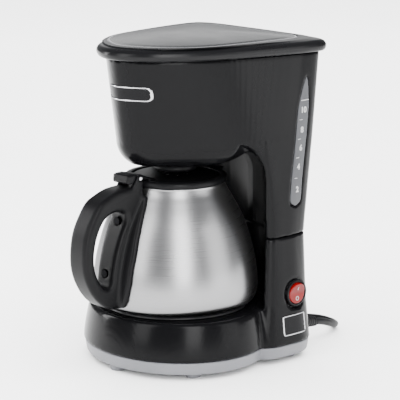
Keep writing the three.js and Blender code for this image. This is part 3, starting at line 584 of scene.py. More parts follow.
# ---- plan outlines of the body, right half, front to back
HEAD_TOP = [
    (0, -65.4), (24, -54), (43.6, -31), (60, 5), (70.5, 45), (75.5, 78), (73, 94.5), (60, 99.5),
    (30, 101.5), (0, 102)
]
HEAD_LOW = [
    (0, -56), (20.5, -46.6), (38.8, -27), (58, 3), (71, 38), (76, 70), (72.5, 88.5), (59, 94), (30, 96),
    (0, 96.5)
]
COLUMN = [
    (
        BASE_Z,
        [
            (0, 20), (60, 22), (75, 26), (82.5, 36), (84.8, 55), (84, 71), (77.5, 83), (62, 88.5), (30, 90),
            (0, 90.5)
        ]
    ),
    (
        50.0,
        [
            (0, 28), (60, 30), (72, 31.5), (78.5, 38), (80.5, 55), (79.8, 69), (74, 81.5), (60, 86),
            (30, 87.5), (0, 88)
        ]
    ),
    (
        SEAM_Z,
        [
            (0, 34), (58, 35), (69.5, 36.5), (75, 41.5), (76.5, 55), (75.8, 68), (71.5, 80.5), (58, 84.5),
            (30, 86), (0, 86.5)
        ]
    ),
    (
        ARCH_Z,
        [
            (0, 33), (57, 33), (67, 33.2), (71.6, 38), (74.8, 54), (76, 70), (72.5, 88.5), (59, 94),
            (30, 96), (0, 96.5)
        ]
    ),
]
LID_HALF = [
    (0, -71.5), (28, -60.5), (49, -34.5), (65, 3), (75.5, 44), (80.6, 78), (78, 98), (63, 103), (30, 104),
    (0, 104.2)
]


def column_half(z):
    z = min(max(z, BASE_Z), ARCH_Z)
    for (z0, a), (z1, b) in zip(COLUMN, COLUMN[1:]):
        if z <= z1:
            return mix(a, b, (z - z0) / (z1 - z0))


def head_half(z):
    return mix(HEAD_LOW, HEAD_TOP, (z - ARCH_Z) / (HEAD_TOP_Z - ARCH_Z))


def column_field(g):
    low, high = max(g.zs[0], BASE_Z), min(g.zs[-1], ARCH_Z)
    heights = sorted({low, high, *[z for z in (33, 50, 78, SEAM_Z, 134, 161) if low < z < high]})
    return g.outline([(z, mirrored(column_half(z))) for z in heights])


def recess_field(g):
    """The space the jug stands in."""
    radius = np.hypot(g.x, g.y - RECESS_Y)
    across, up = RECESS_R - ARCH_R, ARCH_Z - SPRING_Z
    u, v = (radius - ARCH_R) / across, (g.z - SPRING_Z) / up
    length = np.sqrt(u * u + v * v) + 1e-6
    slope = np.sqrt((u / across) ** 2 + (v / up) ** 2) / length + 1e-6
    arch = (length - 1) / slope
    side = radius - RECESS_R + 0 * g.z
    out = np.where((g.z > SPRING_Z) & (radius > ARCH_R), arch, np.where(g.z > SPRING_Z, g.z - ARCH_Z, side))
    return np.maximum(out, DECK_Z - g.z)


def drum_field(g):
    """The round front of the base, tapering upwards to a rounded deck edge."""
    t = np.clip((g.z - BASE_Z) / (DECK_Z - BASE_Z), 0, 1)
    a, b = 82.2 - 4.6 * t**1.4, 75.2 - 6.2 * t**1.4
    u, v = g.x / a, g.y / b
    length = np.sqrt(u * u + v * v) + 1e-6
    side = (length - 1) * length / np.sqrt((u / a) ** 2 + (v / b) ** 2 + 1e-9)
    return both(side, g.z - DECK_Z, 3.2)


def bowl_field(g):
    """The rounded underside of the brewing head: flat in the middle, a quarter ellipse out to its edge."""
    full = mirrored(head_half(ARCH_Z), 360)
    dx, dy = full[:, 0], full[:, 1] - RECESS_Y
    angles = np.arctan2(dy, dx)
    order = np.argsort(angles)
    angle = np.arctan2(g.y - RECESS_Y, g.x)
    edge = np.interp(angle, angles[order], np.minimum(np.hypot(dx, dy), ARCH_R)[order], period=2 * math.pi)
    share = np.hypot(g.x, g.y - RECESS_Y) / edge
    out = np.maximum(share - 0.5, 0) / 0.5
    down = np.maximum(ARCH_Z - g.z, 0) / (ARCH_Z - BOWL_Z + 0.5)
    field = np.sqrt(out**2 + down**2) - 1
    slope = np.sqrt(sum(v**2 for v in np.gradient(field, g.cell)))
    return field / np.maximum(slope, 0.01)


def window_outline(shrink, steps=40):
    """The leaning strip of the level window: pointed at the top, round at the bottom."""
    centre = spline([(66.2, 130.5), (68.2, 155), (71.6, 182), (75, 214), (78.3, 239)], steps + 1)
    front, rear = [], []
    for i, (y, z) in enumerate(centre):
        t = i / steps
        bottom = math.sqrt(max(0.0, 1 - (1 - min(1.0, t / 0.07)) ** 2))
        point = min(1.0, (1 - t) / 0.26) ** 0.62
        half = max(0.1, max(0.25, (7.1 - 0.9 * t) * min(bottom, point)) - shrink)
        front.append((y - half, z + shrink * (1 - 2 * t)))
        rear.append((y + half, z + shrink * (1 - 2 * t)))
    return rear + front[::-1]


# ---- upper housing with the tank and the brewing head
def upper_fields(g):
    column = column_field(g)
    head = g.outline([(z, mirrored(head_half(z))) for z in (ARCH_Z, 211, 235, HEAD_TOP_Z)])
    return column, head, bowl_field(g)


def build_tank_housing():
    g = Grid((-81, -71, 103), (81, 107, 262), 1.5)
    column, head, bowl = upper_fields(g)
    recess = recess_field(g)
    under_head = g.outline([(BASE_Z, mirrored(HEAD_LOW)), (ARCH_Z, mirrored(HEAD_LOW))])
    below = np.maximum(ARCH_Z - g.z, 0)
    t = np.clip(below / 55, 0, 1)
    t = 1 - (1 - t * t * (3 - 2 * t)) * np.clip((82 - g.y) / 22, 0, 1)
    eased_side = (1 - t) * (under_head - 0.028 * below) + t * column
    column = np.where((g.y > 38) & (below > 0), eased_side, column)
    tower = both(column, g.z - 200)
    front = np.minimum(both(head, ARCH_Z - g.z), both(both(bowl, BOWL_Z - g.z, 2.0), g.z - ARCH_Z - 1))
    hollowed = both(tower, np.where(g.z < ARCH_Z, -recess, 50), 1.5)
    envelope = np.minimum(column, both(under_head, g.y - 38))
    body = np.maximum(union(hollowed, front, 26.0), np.where(g.z > ARCH_Z, head, envelope))
    body = both(both(body, SEAM_Z + 0.12 - g.z, 0.3), g.z - HEAD_TOP_Z, 1.2)
    inner_head = both(head + WALL, ARCH_Z - g.z)
    inner_tower = both(column + WALL, np.maximum(g.z - ARCH_Z - 1, SEAM_Z + 3.2 - g.z))
    tank = both(less(np.minimum(inner_head, inner_tower), recess - WALL), PARTITION_Y + WALL - g.y)
    chamber = np.minimum(inner_head, both(bowl + 3, np.maximum(g.z - ARCH_Z - 1, BOWL_Z + 3 - g.z)))
    chamber = both(chamber, g.y - PARTITION_Y)
    over = both(inner_head, 243 - g.z)
    body = less(body, np.minimum(np.minimum(tank, chamber), over), 1.0)
    body = less(body, rod(g, 2, DRAIN_R, 160, 175, 0, 0))
    body = less(body, slab(g, window_outline(0), 15, centre=82))
    link("upper_housing", g.mesh(body), "housing", "gloss_black", body_black, "tank_housing")

    e = Grid((18, 97, 243), (30, 110, 268), 0.6)
    ear_side = [
        (PIN_Y - 3.6, PIN_Z), (PIN_Y - 4.4, 246), (PIN_Y - 2.6, 245), (PIN_Y + 2.4, 254),
        (PIN_Y + 3.6, PIN_Z)
    ]
    ear = union(rod(e, 0, BARREL_R, 20, 28, PIN_Y, PIN_Z, 0.7), slab(e, ear_side, 4, 0.7, centre=24), 1.0)
    ear = less(ear, rod(e, 0, PIN_R + GAP, 0, 60, PIN_Y, PIN_Z))
    mesh = e.mesh(ear)
    link("hinge_ear_right", mesh, "housing", "gloss_black", satin_black)
    other = mesh.copy()
    other.transform(Matrix.Scale(-1, 4, (1, 0, 0)))
    other.flip_normals()
    other.materials.clear()
    link("hinge_ear_left", other, "housing", "gloss_black", satin_black)


def build_window():
    g = Grid((69, 54, 126), (79, 88, 243), 0.7)
    column, head, _ = upper_fields(g)
    skin = np.where(g.z < ARCH_Z, column, head)
    pane = both(both(slab(g, window_outline(GAP), 15, centre=82), skin + 0.15, 0.8), -skin - 2.0)
    link("level_window", g.mesh(pane), "housing", "window_grey", window_grey, "water_window")


# ---- base housing
def build_base_housing():
    g = Grid((-88, -79, 12), (88, 95, 109), 1.5)
    column, drum, recess = column_field(g), drum_field(g), recess_field(g)
    tower = both(column, -recess, 1.5)
    body = union(tower, drum, 5.0)
    radius = np.hypot(g.x, g.y - RECESS_Y)
    body = np.where((g.z > DECK_Z) & (radius < RECESS_R), np.maximum(body, DECK_Z - g.z + 0.2), body)
    body = both(both(body, BASE_Z - g.z, 1.0), g.z - (SEAM_Z - 0.12), 0.3)
    inside = np.minimum(both(drum + WALL, g.z - DECK_Z + WALL), less(column + WALL, recess - WALL))
    body = less(body, inside)
    body = less(body, rod(g, 2, HOT_PLATE_R, 40, 60, 0, 0))
    pocket = rod(g, 0, SWITCH_POCKET_R, SWITCH_FACE, 95, SWITCH_Y, SWITCH_Z)
    boss = both(both(rod(g, 0, 15, 75.5, SWITCH_FACE, SWITCH_Y, SWITCH_Z), column), 75.5 - g.x)
    body = less(np.minimum(body, boss), pocket, 0.8)
    body = less(body, rod(g, 0, 10.2, 60, 95, SWITCH_Y, SWITCH_Z))
    body = less(body, rod(g, 1, 5.1, 70, 110, EXIT[0], EXIT[2]))
    link("lower_housing", g.mesh(body), "housing", "gloss_black", body_black, "base_housing")


def build_base_plate():
    g = Grid((-87, -78, 3), (87, 92, 18), 1.2)
    flat = np.minimum(
        outline_distance(g.xs, g.ys, mirrored(COLUMN[0][1])),
        outline_distance(
            g.xs, g.ys,
            [(82 * math.cos(a), 75 * math.sin(a)) for a in np.linspace(0, 2 * math.pi, 120, endpoint=False)]
        ),
    )
    flat = flat[:, :, None]
    t = np.clip((g.z - 5) / 10.2, 0, 1)
    plate = both(both(flat + 2.6 - 1.8 * t**0.7, 4.6 - g.z, 1.6), g.z - (BASE_Z - GAP), 0.5)
    plate = less(plate, both(flat + 6 - 2.4 * t, 7.5 - g.z, 1.0))
    for x, y in ((52, 50), (-52, 50), (32, -54), (-32, -54)):
        plate = union(plate, rod(g, 2, 5.5, 5.5, BASE_Z - GAP, x, y), 1.0)
        plate = less(plate, rod(g, 2, 3.3, 0, 7.4, x, y))
        plate = less(plate, rod(g, 2, 1.9, 0, 20, x, y))
    for x in (-12, 0, 12):
        plate = less(plate, block(g, (x - 1.6, -14, 0), (x + 1.6, 22, 9), 1.2))
    link("grey_base", g.mesh(plate), "housing", "light_grey", plate_grey, "base_plate")
    feet = {
        "foot_front": (0, -64.5), "foot_right": (57, -32), "foot_left": (-57, -32),
        "foot_rear_right": (68, 66), "foot_rear_left": (-68, 66)
    }
    profile = rounded([(0, 0), (6.3, 0), (6.5, 4.7), (0, 4.7)], {1: 1.2, 2: 0.3})
    for node, (x, y) in feet.items():
        link(node + "_pad", lathe(profile, 48, x, y), "housing", "light_grey", plate_grey, node)


# ---- hot plate
def build_hot_plate():
    profile = [
        (0, 48.2), (55.5, 48.2), (55.5, 43), (57, 43), (57, 47.3), (62.3, 47.3), (62.5, 47.8), (62.2, 48.6),
        (61, 49.5), (60, 49.7)
    ]
    for r in (52, 44, 36, 28, 20, 12):
        profile += [(r + 1.2, 49.7), (r + 0.6, 49.4), (r - 0.6, 49.4), (r - 1.2, 49.7)]
    profile.append((0, 49.7))
    link("warming_plate", lathe(profile, 128), "housing", "plate_coating", hot_coating, "hot_plate")


# ---- lid
LID_CENTRE = np.array((0.0, 25.0))


def ring_map(outline, other, count):
    """Points of two closed outlines that face each other, seen from inside both."""
    angles = np.linspace(-math.pi, math.pi, count, endpoint=False)

    def radii(points):
        d = points - LID_CENTRE
        a = np.arctan2(d[:, 1], d[:, 0])
        order = np.argsort(a)
        return np.interp(angles, a[order], np.hypot(d[:, 0], d[:, 1])[order], period=2 * math.pi)

    direction = np.stack([np.cos(angles), np.sin(angles)], 1)
    return LID_CENTRE + direction * radii(outline)[:, None], LID_CENTRE + direction * radii(other)[:, None]


PANEL_HALF = [
    (0, -58.5), (17, -54), (36.5, -42), (49, -27), (57, -6), (60.5, 22), (63, 52), (62, 78), (53, 88),
    (30, 91), (0, 92)
]


def build_lid():
    count = 220
    edge = mirrored(LID_HALF, 720)
    panel = mirrored(PANEL_HALF, 720)
    outer, inner = ring_map(edge, panel, count)
    z0 = HEAD_TOP_Z + GAP
    rows, tags = [], []

    def row(t, grow, z, tag):
        p = outer * (1 - t) + inner * t
        d = p - LID_CENTRE
        p = p + d / np.linalg.norm(d, axis=1)[:, None] * grow
        rows.append(np.column_stack([p, np.full(count, z)]))
        tags.append(tag)

    # underside, edge, rim, groove, panel
    for t, grow, up in (
        (1.0, -2, 8.0), (0.55, 0, 7.6), (0.5, 0, 6.2), (0.42, 0, 0.5), (0.4, 0, 0.1), (0.3, 0, 0)
    ):
        row(t, grow, z0 + up, 0)
    for a in np.linspace(-75, 88, 15):
        a = math.radians(a)
        out, up = (3.4, 4.4) if a < 0 else (6.5, 5.2)
        row(0.0, -out + out * math.cos(a), z0 + 4.4 + up * math.sin(a), 0)
    for t in (0.5, 0.65, 0.8, 0.9):
        row(t, 0, z0 + 9.6 + 1.3 * t**0.8, 0)
    # the rows tagged 2 form the bead round the panel, which takes the painted highlight grey
    for t, grow, up, tag in (
        (0.965, 0, 10.95, 0), (0.985, 0, 10.75, 0), (1.0, 0.1, 10.15, 0),
        (1.0, -0.5, 10.1, 2), (1.0, -0.8, 10.75, 2), (1.0, -1.5, 10.95, 2), (1.0, -2.1, 10.75, 2),
    ):
        row(t, grow, z0 + up, tag)
    for s in (0.94, 0.88, 0.8, 0.7, 0.6, 0.5, 0.4, 0.3, 0.2, 0.1):
        p = LID_CENTRE + (inner - LID_CENTRE) * s
        rows.append(np.column_stack([p, np.full(count, z0 + 10.8 + 4.4 * (1 - s * s))]))
        tags.append(1)
    vertices = np.concatenate(rows)
    faces = row_faces(len(rows), count)
    kinds = [tag for tag in tags[1:] for _ in range(count)]
    top, under = len(vertices), len(vertices) + 1
    vertices = np.concatenate([vertices, [[0, 25, z0 + 15.2], [0, 25, z0 + 8.2]]])
    last = (len(rows) - 1) * count
    for i in range(count):
        j = (i + 1) % count
        faces.append((last + i, last + j, top))
        kinds.append(1)
        faces.append((j, i, under))
        kinds.append(0)
    # leave room for the hinge ears at the back edge
    behind = vertices[:, 1] > 99.2
    slot = behind & (np.abs(vertices[:, 0]) > 18.5) & (np.abs(vertices[:, 0]) < 29.5)
    vertices[slot, 1] = 99.2
    mesh = mesh_of(metres(vertices), faces)
    lid = link("lid_shell", mesh, "lid", "satin_black", lid_black, "lid")
    # the lid's second finish is its panel, the third the painted highlight grey of the bead
    mesh.materials.append(lid_panel)
    mesh.materials.append(lid_painted_highlight)
    for polygon, kind in zip(mesh.polygons, kinds):
        polygon.material_index = kind
    b = Grid((-21, 95, 257), (21, 109, 267), 0.7)
    barrel = union(
        rod(b, 0, BARREL_R, -19.6, 19.6, PIN_Y, PIN_Z, 0.6),
        block(b, (-19.6, 96.5, 259.8), (19.6, PIN_Y, 264.2), 0.6), 1.0
    )
    barrel = less(barrel, rod(b, 0, PIN_R + GAP, -60, 60, PIN_Y, PIN_Z))
    link("lid_barrel", b.mesh(barrel), "lid", "satin_black", satin_black)
    pin = rounded([(0, -27.6), (PIN_R, -27.6), (PIN_R, 27.6), (0, 27.6)], {1: 0.5, 2: 0.5})
    link(
        "lid_pin", lathe(pin, 32, axis="x", place=Matrix.Translation((0, PIN_Y, PIN_Z))), "housing",
        "steel", small_steel, "lid_hinge_pin"
    )


# ---- jug
JUG_OUTER = [
    (60.5, 50.0), (62.6, 50.15), (64.6, 50.8), (66.3, 52.2), (67.6, 54.4), (68.7, 58.0), (69.3, 62.5),
    (69.2, 68), (68.5, 76), (66.7, 87.5), (63.8, 99.5), (59.7, 113), (56.2, 121.6), (51.9, 130),
    (46.5, 139.5), (43.1, 145.5), (41.6, 149), (41.4, 151)
]


def jug_radius(z):
    """Outer radius of the jug at heights, in mm."""
    curve = jug_curve()
    return np.interp(z, curve[6:, 1], curve[6:, 0])


def jug_curve():
    return spline(JUG_OUTER, 110)


def build_jug():
    outer = [tuple(p) for p in jug_curve()]
    inner = [(max(r - 1.2, 0), z) for r, z in outer if z > 53]
    profile = [
        (0, 50.9), (52, 50.9), (54, 50.5), (56, 50.05)
    ] + outer + [(40.9, 151.3), (40.3, 151.2)] + inner[::-1] + [(60, 51.4), (52, 52.1), (0, 52.1)]
    link("jug_shell", lathe(profile, 160), "jug", "steel", steel, "jug_body")

    g = Grid((-46, -46, 144), (46, 54, 159), 0.9)
    ring = turned_distance(
        g,
        [
            (36.5, 146), (39.6, 146), (39.6, 151.3), (42.2, 151.3), (43, 152.4), (43, 155), (41.8, 156.6),
            (36.5, 156.6)
        ]
    )
    spout = slab(g, [(38, 151.5), (43, 151.5), (50, 156.6), (38, 156.6)], 8, 0.8)
    trough = slab(g, [(34, 153.6), (42, 153.6), (50, 159), (34, 159)], 6, 0.6)
    collar = less(
        union(ring, both(spout, -turned_distance(g, [(0, 140), (37.5, 140), (37.5, 160), (0, 160)])), 1.0),
        both(trough, -turned_distance(g, [(0, 140), (38.5, 140), (38.5, 160), (0, 160)])), 0.5
    )
    link("pouring_collar", g.mesh(collar), "jug", "satin_black", handle_black, "jug_collar")

    g = Grid((-38, -65, 147), (38, 38, 166), 0.9)
    cap = turned_distance(
        g,
        [
            (34, 149), (36, 149), (36, 155.2), (35, 156), (30, 156.5), (12, 156.7), (5, 157.6), (0, 157.6),
            (-5, 154.6), (28, 154.4), (34, 153.4)
        ]
    )
    lever = slab(
        g,
        [
            (-30, 155.6), (-36.8, 157), (-43, 157), (-43.6, 158), (-49.6, 158), (-55, 158), (-58, 159),
            (-58, 163), (-52, 163.4), (-43, 162.6), (-36, 159.6), (-28, 156.9)
        ],
        6.4, 0.9
    )
    thumb = slab(
        g, [(-51, 160.6), (-54.2, 156.6), (-59.5, 156.4), (-60.4, 158), (-59.6, 163.4), (-51, 164.2)], 9.6,
        1.0
    )
    lid = union(union(cap, lever, 1.5), thumb, 1.0)
    for i in range(4):
        lid = union(lid, block(g, (-8, -58.6 + 2 * i, 163.2), (8, -57.6 + 2 * i, 164.7), 0.4), 0.5)
    lid = less(lid, rod(g, 0, PIN_R, -60, 60, JUG_PIN_Y, JUG_PIN_Z))
    for c, s in round_circle(6, 0.5):
        lid = less(lid, rod(g, 2, 1.6, 150, 160, 10 * c, 10 * s))
    link("jug_lid_cap", g.mesh(lid), "jug_lid", "satin_black", handle_black, "jug_lid")


HANDLE_OUTER = [
    (-44, 150), (-46, 153.4), (-58, 153.6), (-70, 152.4), (-80, 149), (-89, 144.4), (-97.2, 133.7),
    (-103.4, 121.5), (-106, 109), (-106.4, 96),
    (-104.6, 86), (-101.2, 77.6), (-96, 69), (-89, 61.4), (-81, 56.4), (-74, 55), (-66, 56), (-60, 70),
    (-50, 110), (-40, 140),
]
HANDLE_HOLE = [
    (-63.5, 133), (-70, 135.4), (-78, 134.6), (-84.6, 130.6), (-90.4, 122), (-94, 112), (-95.6, 101),
    (-94.6, 91), (-91, 82), (-86, 75.4),
    (-81, 73.6), (-78.4, 77), (-76.6, 88), (-73.4, 101), (-68, 115), (-62.4, 127),
]


def build_handle():
    g = Grid((-24, -110, 51), (24, -38, 167), 1.0)
    outer = np.array(HANDLE_OUTER, float)
    hole = spline(HANDLE_HOLE, 90, closed=True)
    smooth = np.concatenate([outer[:2], spline(outer[2:17], 120), outer[17:]])
    loop = both(slab(g, smooth, 11, 4.0), -slab(g, hole, 30), 4.5)
    # the loop is dished along its sides
    groove = outline_distance(g.ys, g.zs, smooth)[None]
    rim = np.abs(np.abs(groove + 5.2) - 2.6) - 0.25
    loop = less(loop, both(np.maximum(rim, 10.6 - np.abs(g.x)), 60 - g.z), 0.6)
    radius = np.hypot(g.x, g.y)
    jug = radius - np.where(g.z < 151, jug_radius(g.z), 43)
    loop = less(loop, jug - 0.4)
    loop = less(loop, both(radius - 43.6, 140 - g.z))
    half_width = np.interp(g.z, [55, 62, 76, 100, 118, 136, 146], [14, 18, 20.4, 20.8, 19.4, 16, 13])
    spine = both(both(jug - 3.4, np.abs(g.x) - half_width, 2.5), np.abs(g.z - 100.5) - 45, 2.0)
    spine = both(both(spine, 0.4 - jug), g.y)
    loop = union(loop, spine, 2.5)
    loop = less(loop, jug - 0.4)
    for side in (-1, 1):
        ear = slab(
            g, [(-44.4, 150), (-44.4, 161.4), (-46.5, 163.2), (-49.6, 162.2), (-56, 152)], 1.9, 0.5,
            centre=side * 8.7
        )
        loop = union(loop, ear, 1.0)
    loop = less(loop, rod(g, 0, PIN_R, -60, 60, JUG_PIN_Y, JUG_PIN_Z))
    for z, face in ((126, -64), (84, -77.6)):
        loop = less(loop, rod(g, 1, 3.5, face - 8, face + 2, 0, z))
        loop = less(loop, rod(g, 1, 1.9, face - 8, -30, 0, z))
    link("handle_loop", g.mesh(loop), "jug", "satin_black", handle_black, "jug_handle")


# ---- brewing parts that turn about the jug axis
def build_turned_parts():
    seat = BOWL_Z + 3 + GAP
    basket = [
        (3.2, seat), (6.4, seat), (6.4, 163.4), (6.8, 163), (8.2, 163), (8.6, 163.4), (8.6, seat),
        (24, seat), (36, 190), (42, 206), (43.5, 240), (45, 240.6),
        (45.2, 241.4), (45, 242.4), (42, 242.4), (41.8, 240), (40.4, 206.4), (34.6, 191),
        (23.4, seat + 1.6), (3.2, seat + 1.6), (3.2, seat),
    ]
    link("brew_basket", lathe(basket, 96), "basket", "inner_black", inner_black, "filter_basket")
    rib = [
        (24.2, seat + 1.9), (35.6, 192), (41, 206), (42.2, 234), (41.2, 234), (40, 207), (34.2, 192.4),
        (23.2, seat + 2.2)
    ]
    rib = rounded(rib, {3: 0.5})
    n = len(rib)
    faces = [tuple(range(n))[::-1], tuple(range(n, 2 * n))] + row_faces(2, n)
    for i, (c, s) in enumerate(round_circle(12)):
        verts = [(r * c + side * 0.5 * s, r * s - side * 0.5 * c, z) for side in (-1, 1) for r, z in rib]
        link(
            f"basket_rib_{i}", mesh_of(metres(verts), faces), "basket", "inner_black", inner_black,
            smooth=False
        )
    shroud = rounded(
        [(10, 160.8), (17.6, 160.8), (18.5, 162), (18.5, 167.7), (10, 167.7), (10, 160.8)], {1: 0.8, 2: 0.8}
    )
    link("outlet_ring", lathe(shroud, 80), "housing", "satin_black", satin_black, "outlet_shroud")
    valve = [
        (0, 159.6), (1.4, 159.6), (2.2, 160.3), (2.2, 163.9), (4.8, 163.9), (5.2, 164.2), (5.2, 164.7),
        (4.8, 164.9), (1.8, 164.9), (1.8, 176.9), (6.6, 176.9), (7, 177.4), (7, 178.6), (6, 179), (0, 179.9)
    ]
    link("valve_stem", lathe(valve, 48), "drip_valve", "satin_black", satin_black, "drip_valve")
    check = [
        (0, 88), (3.4, 88), (3.4, 92), (6.6, 92), (7, 92.5), (7, 98.5), (6.6, 99), (4.4, 99), (4.4, 111.2),
        (0, 111.2)
    ]
    link(
        "inlet_valve", lathe(check, 48, HOSE_X, HOSE_Y), "housing", "inner_black", inner_black,
        "check_valve"
    )


# ---- tubes
def tube(points, radii, sides=20):
    """A closed round tube along points in mm; radii is one number or one for each point."""
    p = np.asarray(points, float)
    radii = np.broadcast_to(radii, len(p)).astype(float).copy()
    directions = np.gradient(p, axis=0)
    directions /= np.linalg.norm(directions, axis=1)[:, None]
    up = np.array((0.0, 0.0, 1.0)) if abs(directions[0, 2]) < 0.9 else np.array((1.0, 0.0, 0.0))
    side = np.cross(directions[0], up)
    side /= np.linalg.norm(side)
    vertices = []
    angles = np.linspace(0, 2 * math.pi, sides, endpoint=False)
    for q, d, r in zip(p, directions, radii):
        side = side - d * (side @ d)
        side /= np.linalg.norm(side)
        other = np.cross(d, side)
        vertices.append(q + r * (np.cos(angles)[:, None] * side + np.sin(angles)[:, None] * other))
    faces = row_faces(len(p), sides)
    faces.append(tuple(range(sides))[::-1])
    faces.append(tuple((len(p) - 1) * sides + i for i in range(sides)))
    return mesh_of(metres(np.concatenate(vertices)), faces)


def loop_band(centre, radial, half_out, half_up, width, thick):
    """A flat band round a bundle: an oval loop in the plane of the radial direction and Z."""
    across = np.cross(radial, (0, 0, 1.0))
    steps = 48
    vertices = []
    for i in range(steps):
        a = 2 * math.pi * i / steps
        c, s = math.cos(a), math.sin(a)
        oval = (abs(c) ** 2.6 + abs(s) ** 2.6) ** (-1 / 2.6)
        for grow, along in (
            (0, -width / 2), (thick, -width / 2 + 0.3), (thick, width / 2 - 0.3), (0, width / 2)
        ):
            out = radial * c * oval * (half_out + grow) + np.array((0, 0, 1.0)) * s * oval * (half_up + grow)
            place = centre + out + across * along
            vertices.append((place[0], place[1], max(place[2], 0.05)))
    return mesh_of(metres(vertices), row_faces(steps, 4, looped=True))


def recalculated(mesh):
    """The same mesh with its faces turned outwards."""
    b = bmesh.new()
    b.from_mesh(mesh)
    bmesh.ops.recalc_face_normals(b, faces=b.faces)
    b.to_mesh(mesh)
    b.free()
    return mesh


# ---- mains cord
CORD_R, REST_Z, TOP_Z = 3.0, 3.2, 9.2
COIL_X, COIL_Y = -52.0, 140.0
CORD_ROUTE = [
    (56, 98, 20.2), (56, 105, 19.0), (56, 112.1, 17.7), (55.8, 118, 16.6), (54.8, 126, 14.2),
    (52.8, 134, 11.2), (49.6, 142, 8.2), (45, 149.2, 5.6),
    (38.4, 155.2, 3.8), (30.2, 158.6, REST_Z), (21.2, 158.8, REST_Z), (12.6, 156, REST_Z),
    (5, 150.2, REST_Z), (-1.4, 143, REST_Z),
    (-7.4, 135.6, REST_Z), (-13.4, 128.4, REST_Z), (-20, 121.4, REST_Z),
]
PLUG_X, PLUG_Z = -98.0, 8.6
PLUG_LEAD = [
    (-86.2, 133, 9.0), (-90.8, 139.6, 8.8), (-94.8, 146, 8.6), (-97.2, 152.5, PLUG_Z), (-98, 158, PLUG_Z)
]


def eased(value, start, end):
    t = min(max((value - start) / (end - start), 0), 1)
    return t * t * (3 - 2 * t)


def coil_points():
    """The turns, clockwise seen from above: one outer, one inner, and the end of the cord on top."""
    first, total = math.radians(-44.5), math.radians(2 * 360 + 110.5)
    points = []
    for i in range(72):
        t = i / 71
        turn = t * total / (2 * math.pi)
        radius = 35.3 + 0.9 * eased(turn, 0, 0.3) - 6.4 * eased(turn, 0.72, 1.0)
        radius += 3.2 * eased(turn, 1.42, 1.7)
        z = REST_Z + (TOP_Z - REST_Z) * eased(turn, 1.42, 1.7)
        a = first - t * total
        points.append((COIL_X + radius * math.cos(a), COIL_Y + radius * math.sin(a), z))
    return points


def build_cord():
    route = CORD_ROUTE + coil_points() + PLUG_LEAD
    path = spline(route, 420)
    cord = link(
        "power_cord", tube(path, CORD_R, 20), "housing", "cord_black", cord_black, "mains_cord",
        "cord_coil", "plug_lead"
    )

    # tapered sleeve with grooves, following the cord where it leaves the housing
    profile = [
        (0, 82), (6, 82), (6, 84), (4.4, 84.2), (4.4, 90.4), (6.6, 90.6), (7, 91), (7, 92.4), (6.6, 92.9)
    ]
    for k in range(6):
        y, r = 94 + 3 * k, 5.5 - 0.22 * k
        profile += [(r, y), (r - 0.05, y + 1.4), (r - 0.9, y + 1.7), (r - 0.9, y + 2.6)]
    profile += [(4.1, 112), (3.6, 112.4), (0, 112.4)]
    tilt = Matrix.Translation(Vector(EXIT)) @ Matrix.Rotation(math.radians(-10), 4, "X")
    tilt = tilt @ Matrix.Translation(Vector((0, -EXIT[1], 0)))
    sleeve = link(
        "cord_sleeve", lathe(profile, 40, axis="y", place=tilt), "housing", "cord_black", cord_black,
        "strain_relief"
    )

    # moulded plug with a waisted grip
    g = Grid((-110, 150, -1), (-86, 188, 18.5), 0.7)
    along = np.clip((g.y - 164) / 21, 0, 1)
    waist = 1.5 * np.sin(along * math.pi) ** 2
    body = block(
        g, (PLUG_X - 10, 164, PLUG_Z - 8.2), (PLUG_X + 10, 185, PLUG_Z + 8.2), 3.5
    ) + waist * (np.abs(g.x - PLUG_X) > 5)
    taper = 4.4 + 1.6 * np.clip((g.y - 152) / 13, 0, 1)
    neck = both(np.hypot(g.x - PLUG_X, g.z - PLUG_Z) - taper, np.maximum(152 - g.y, g.y - 170), 0.6)
    plug = union(body, neck, 3.0)
    for k in range(5):
        groove = both(np.abs(g.y - (169 + 3 * k)) - 0.5, 7.6 - np.abs(g.x - PLUG_X))
        plug = less(plug, groove, 0.4)
    for side in (-1, 1):
        x = PLUG_X + side * 5.65
        plug = less(plug, block(g, (x - 1.0, 177, PLUG_Z - 2.8), (x + 1.0, 190, PLUG_Z + 2.8)))
    plug = link("moulded_plug", g.mesh(plug), "housing", "cord_black", cord_black, "plug_body")

    out = np.array((0.0, 1.0, 0.0))
    tie = loop_band(np.array((COIL_X, COIL_Y + 33.0, 6.25)), out, 6.9, 6.1, 5.0, 0.7)
    tie = link("coil_tie", recalculated(tie), "housing", "cord_black", satin_black)
    [tuple(q) for q in metres(path[::2])]


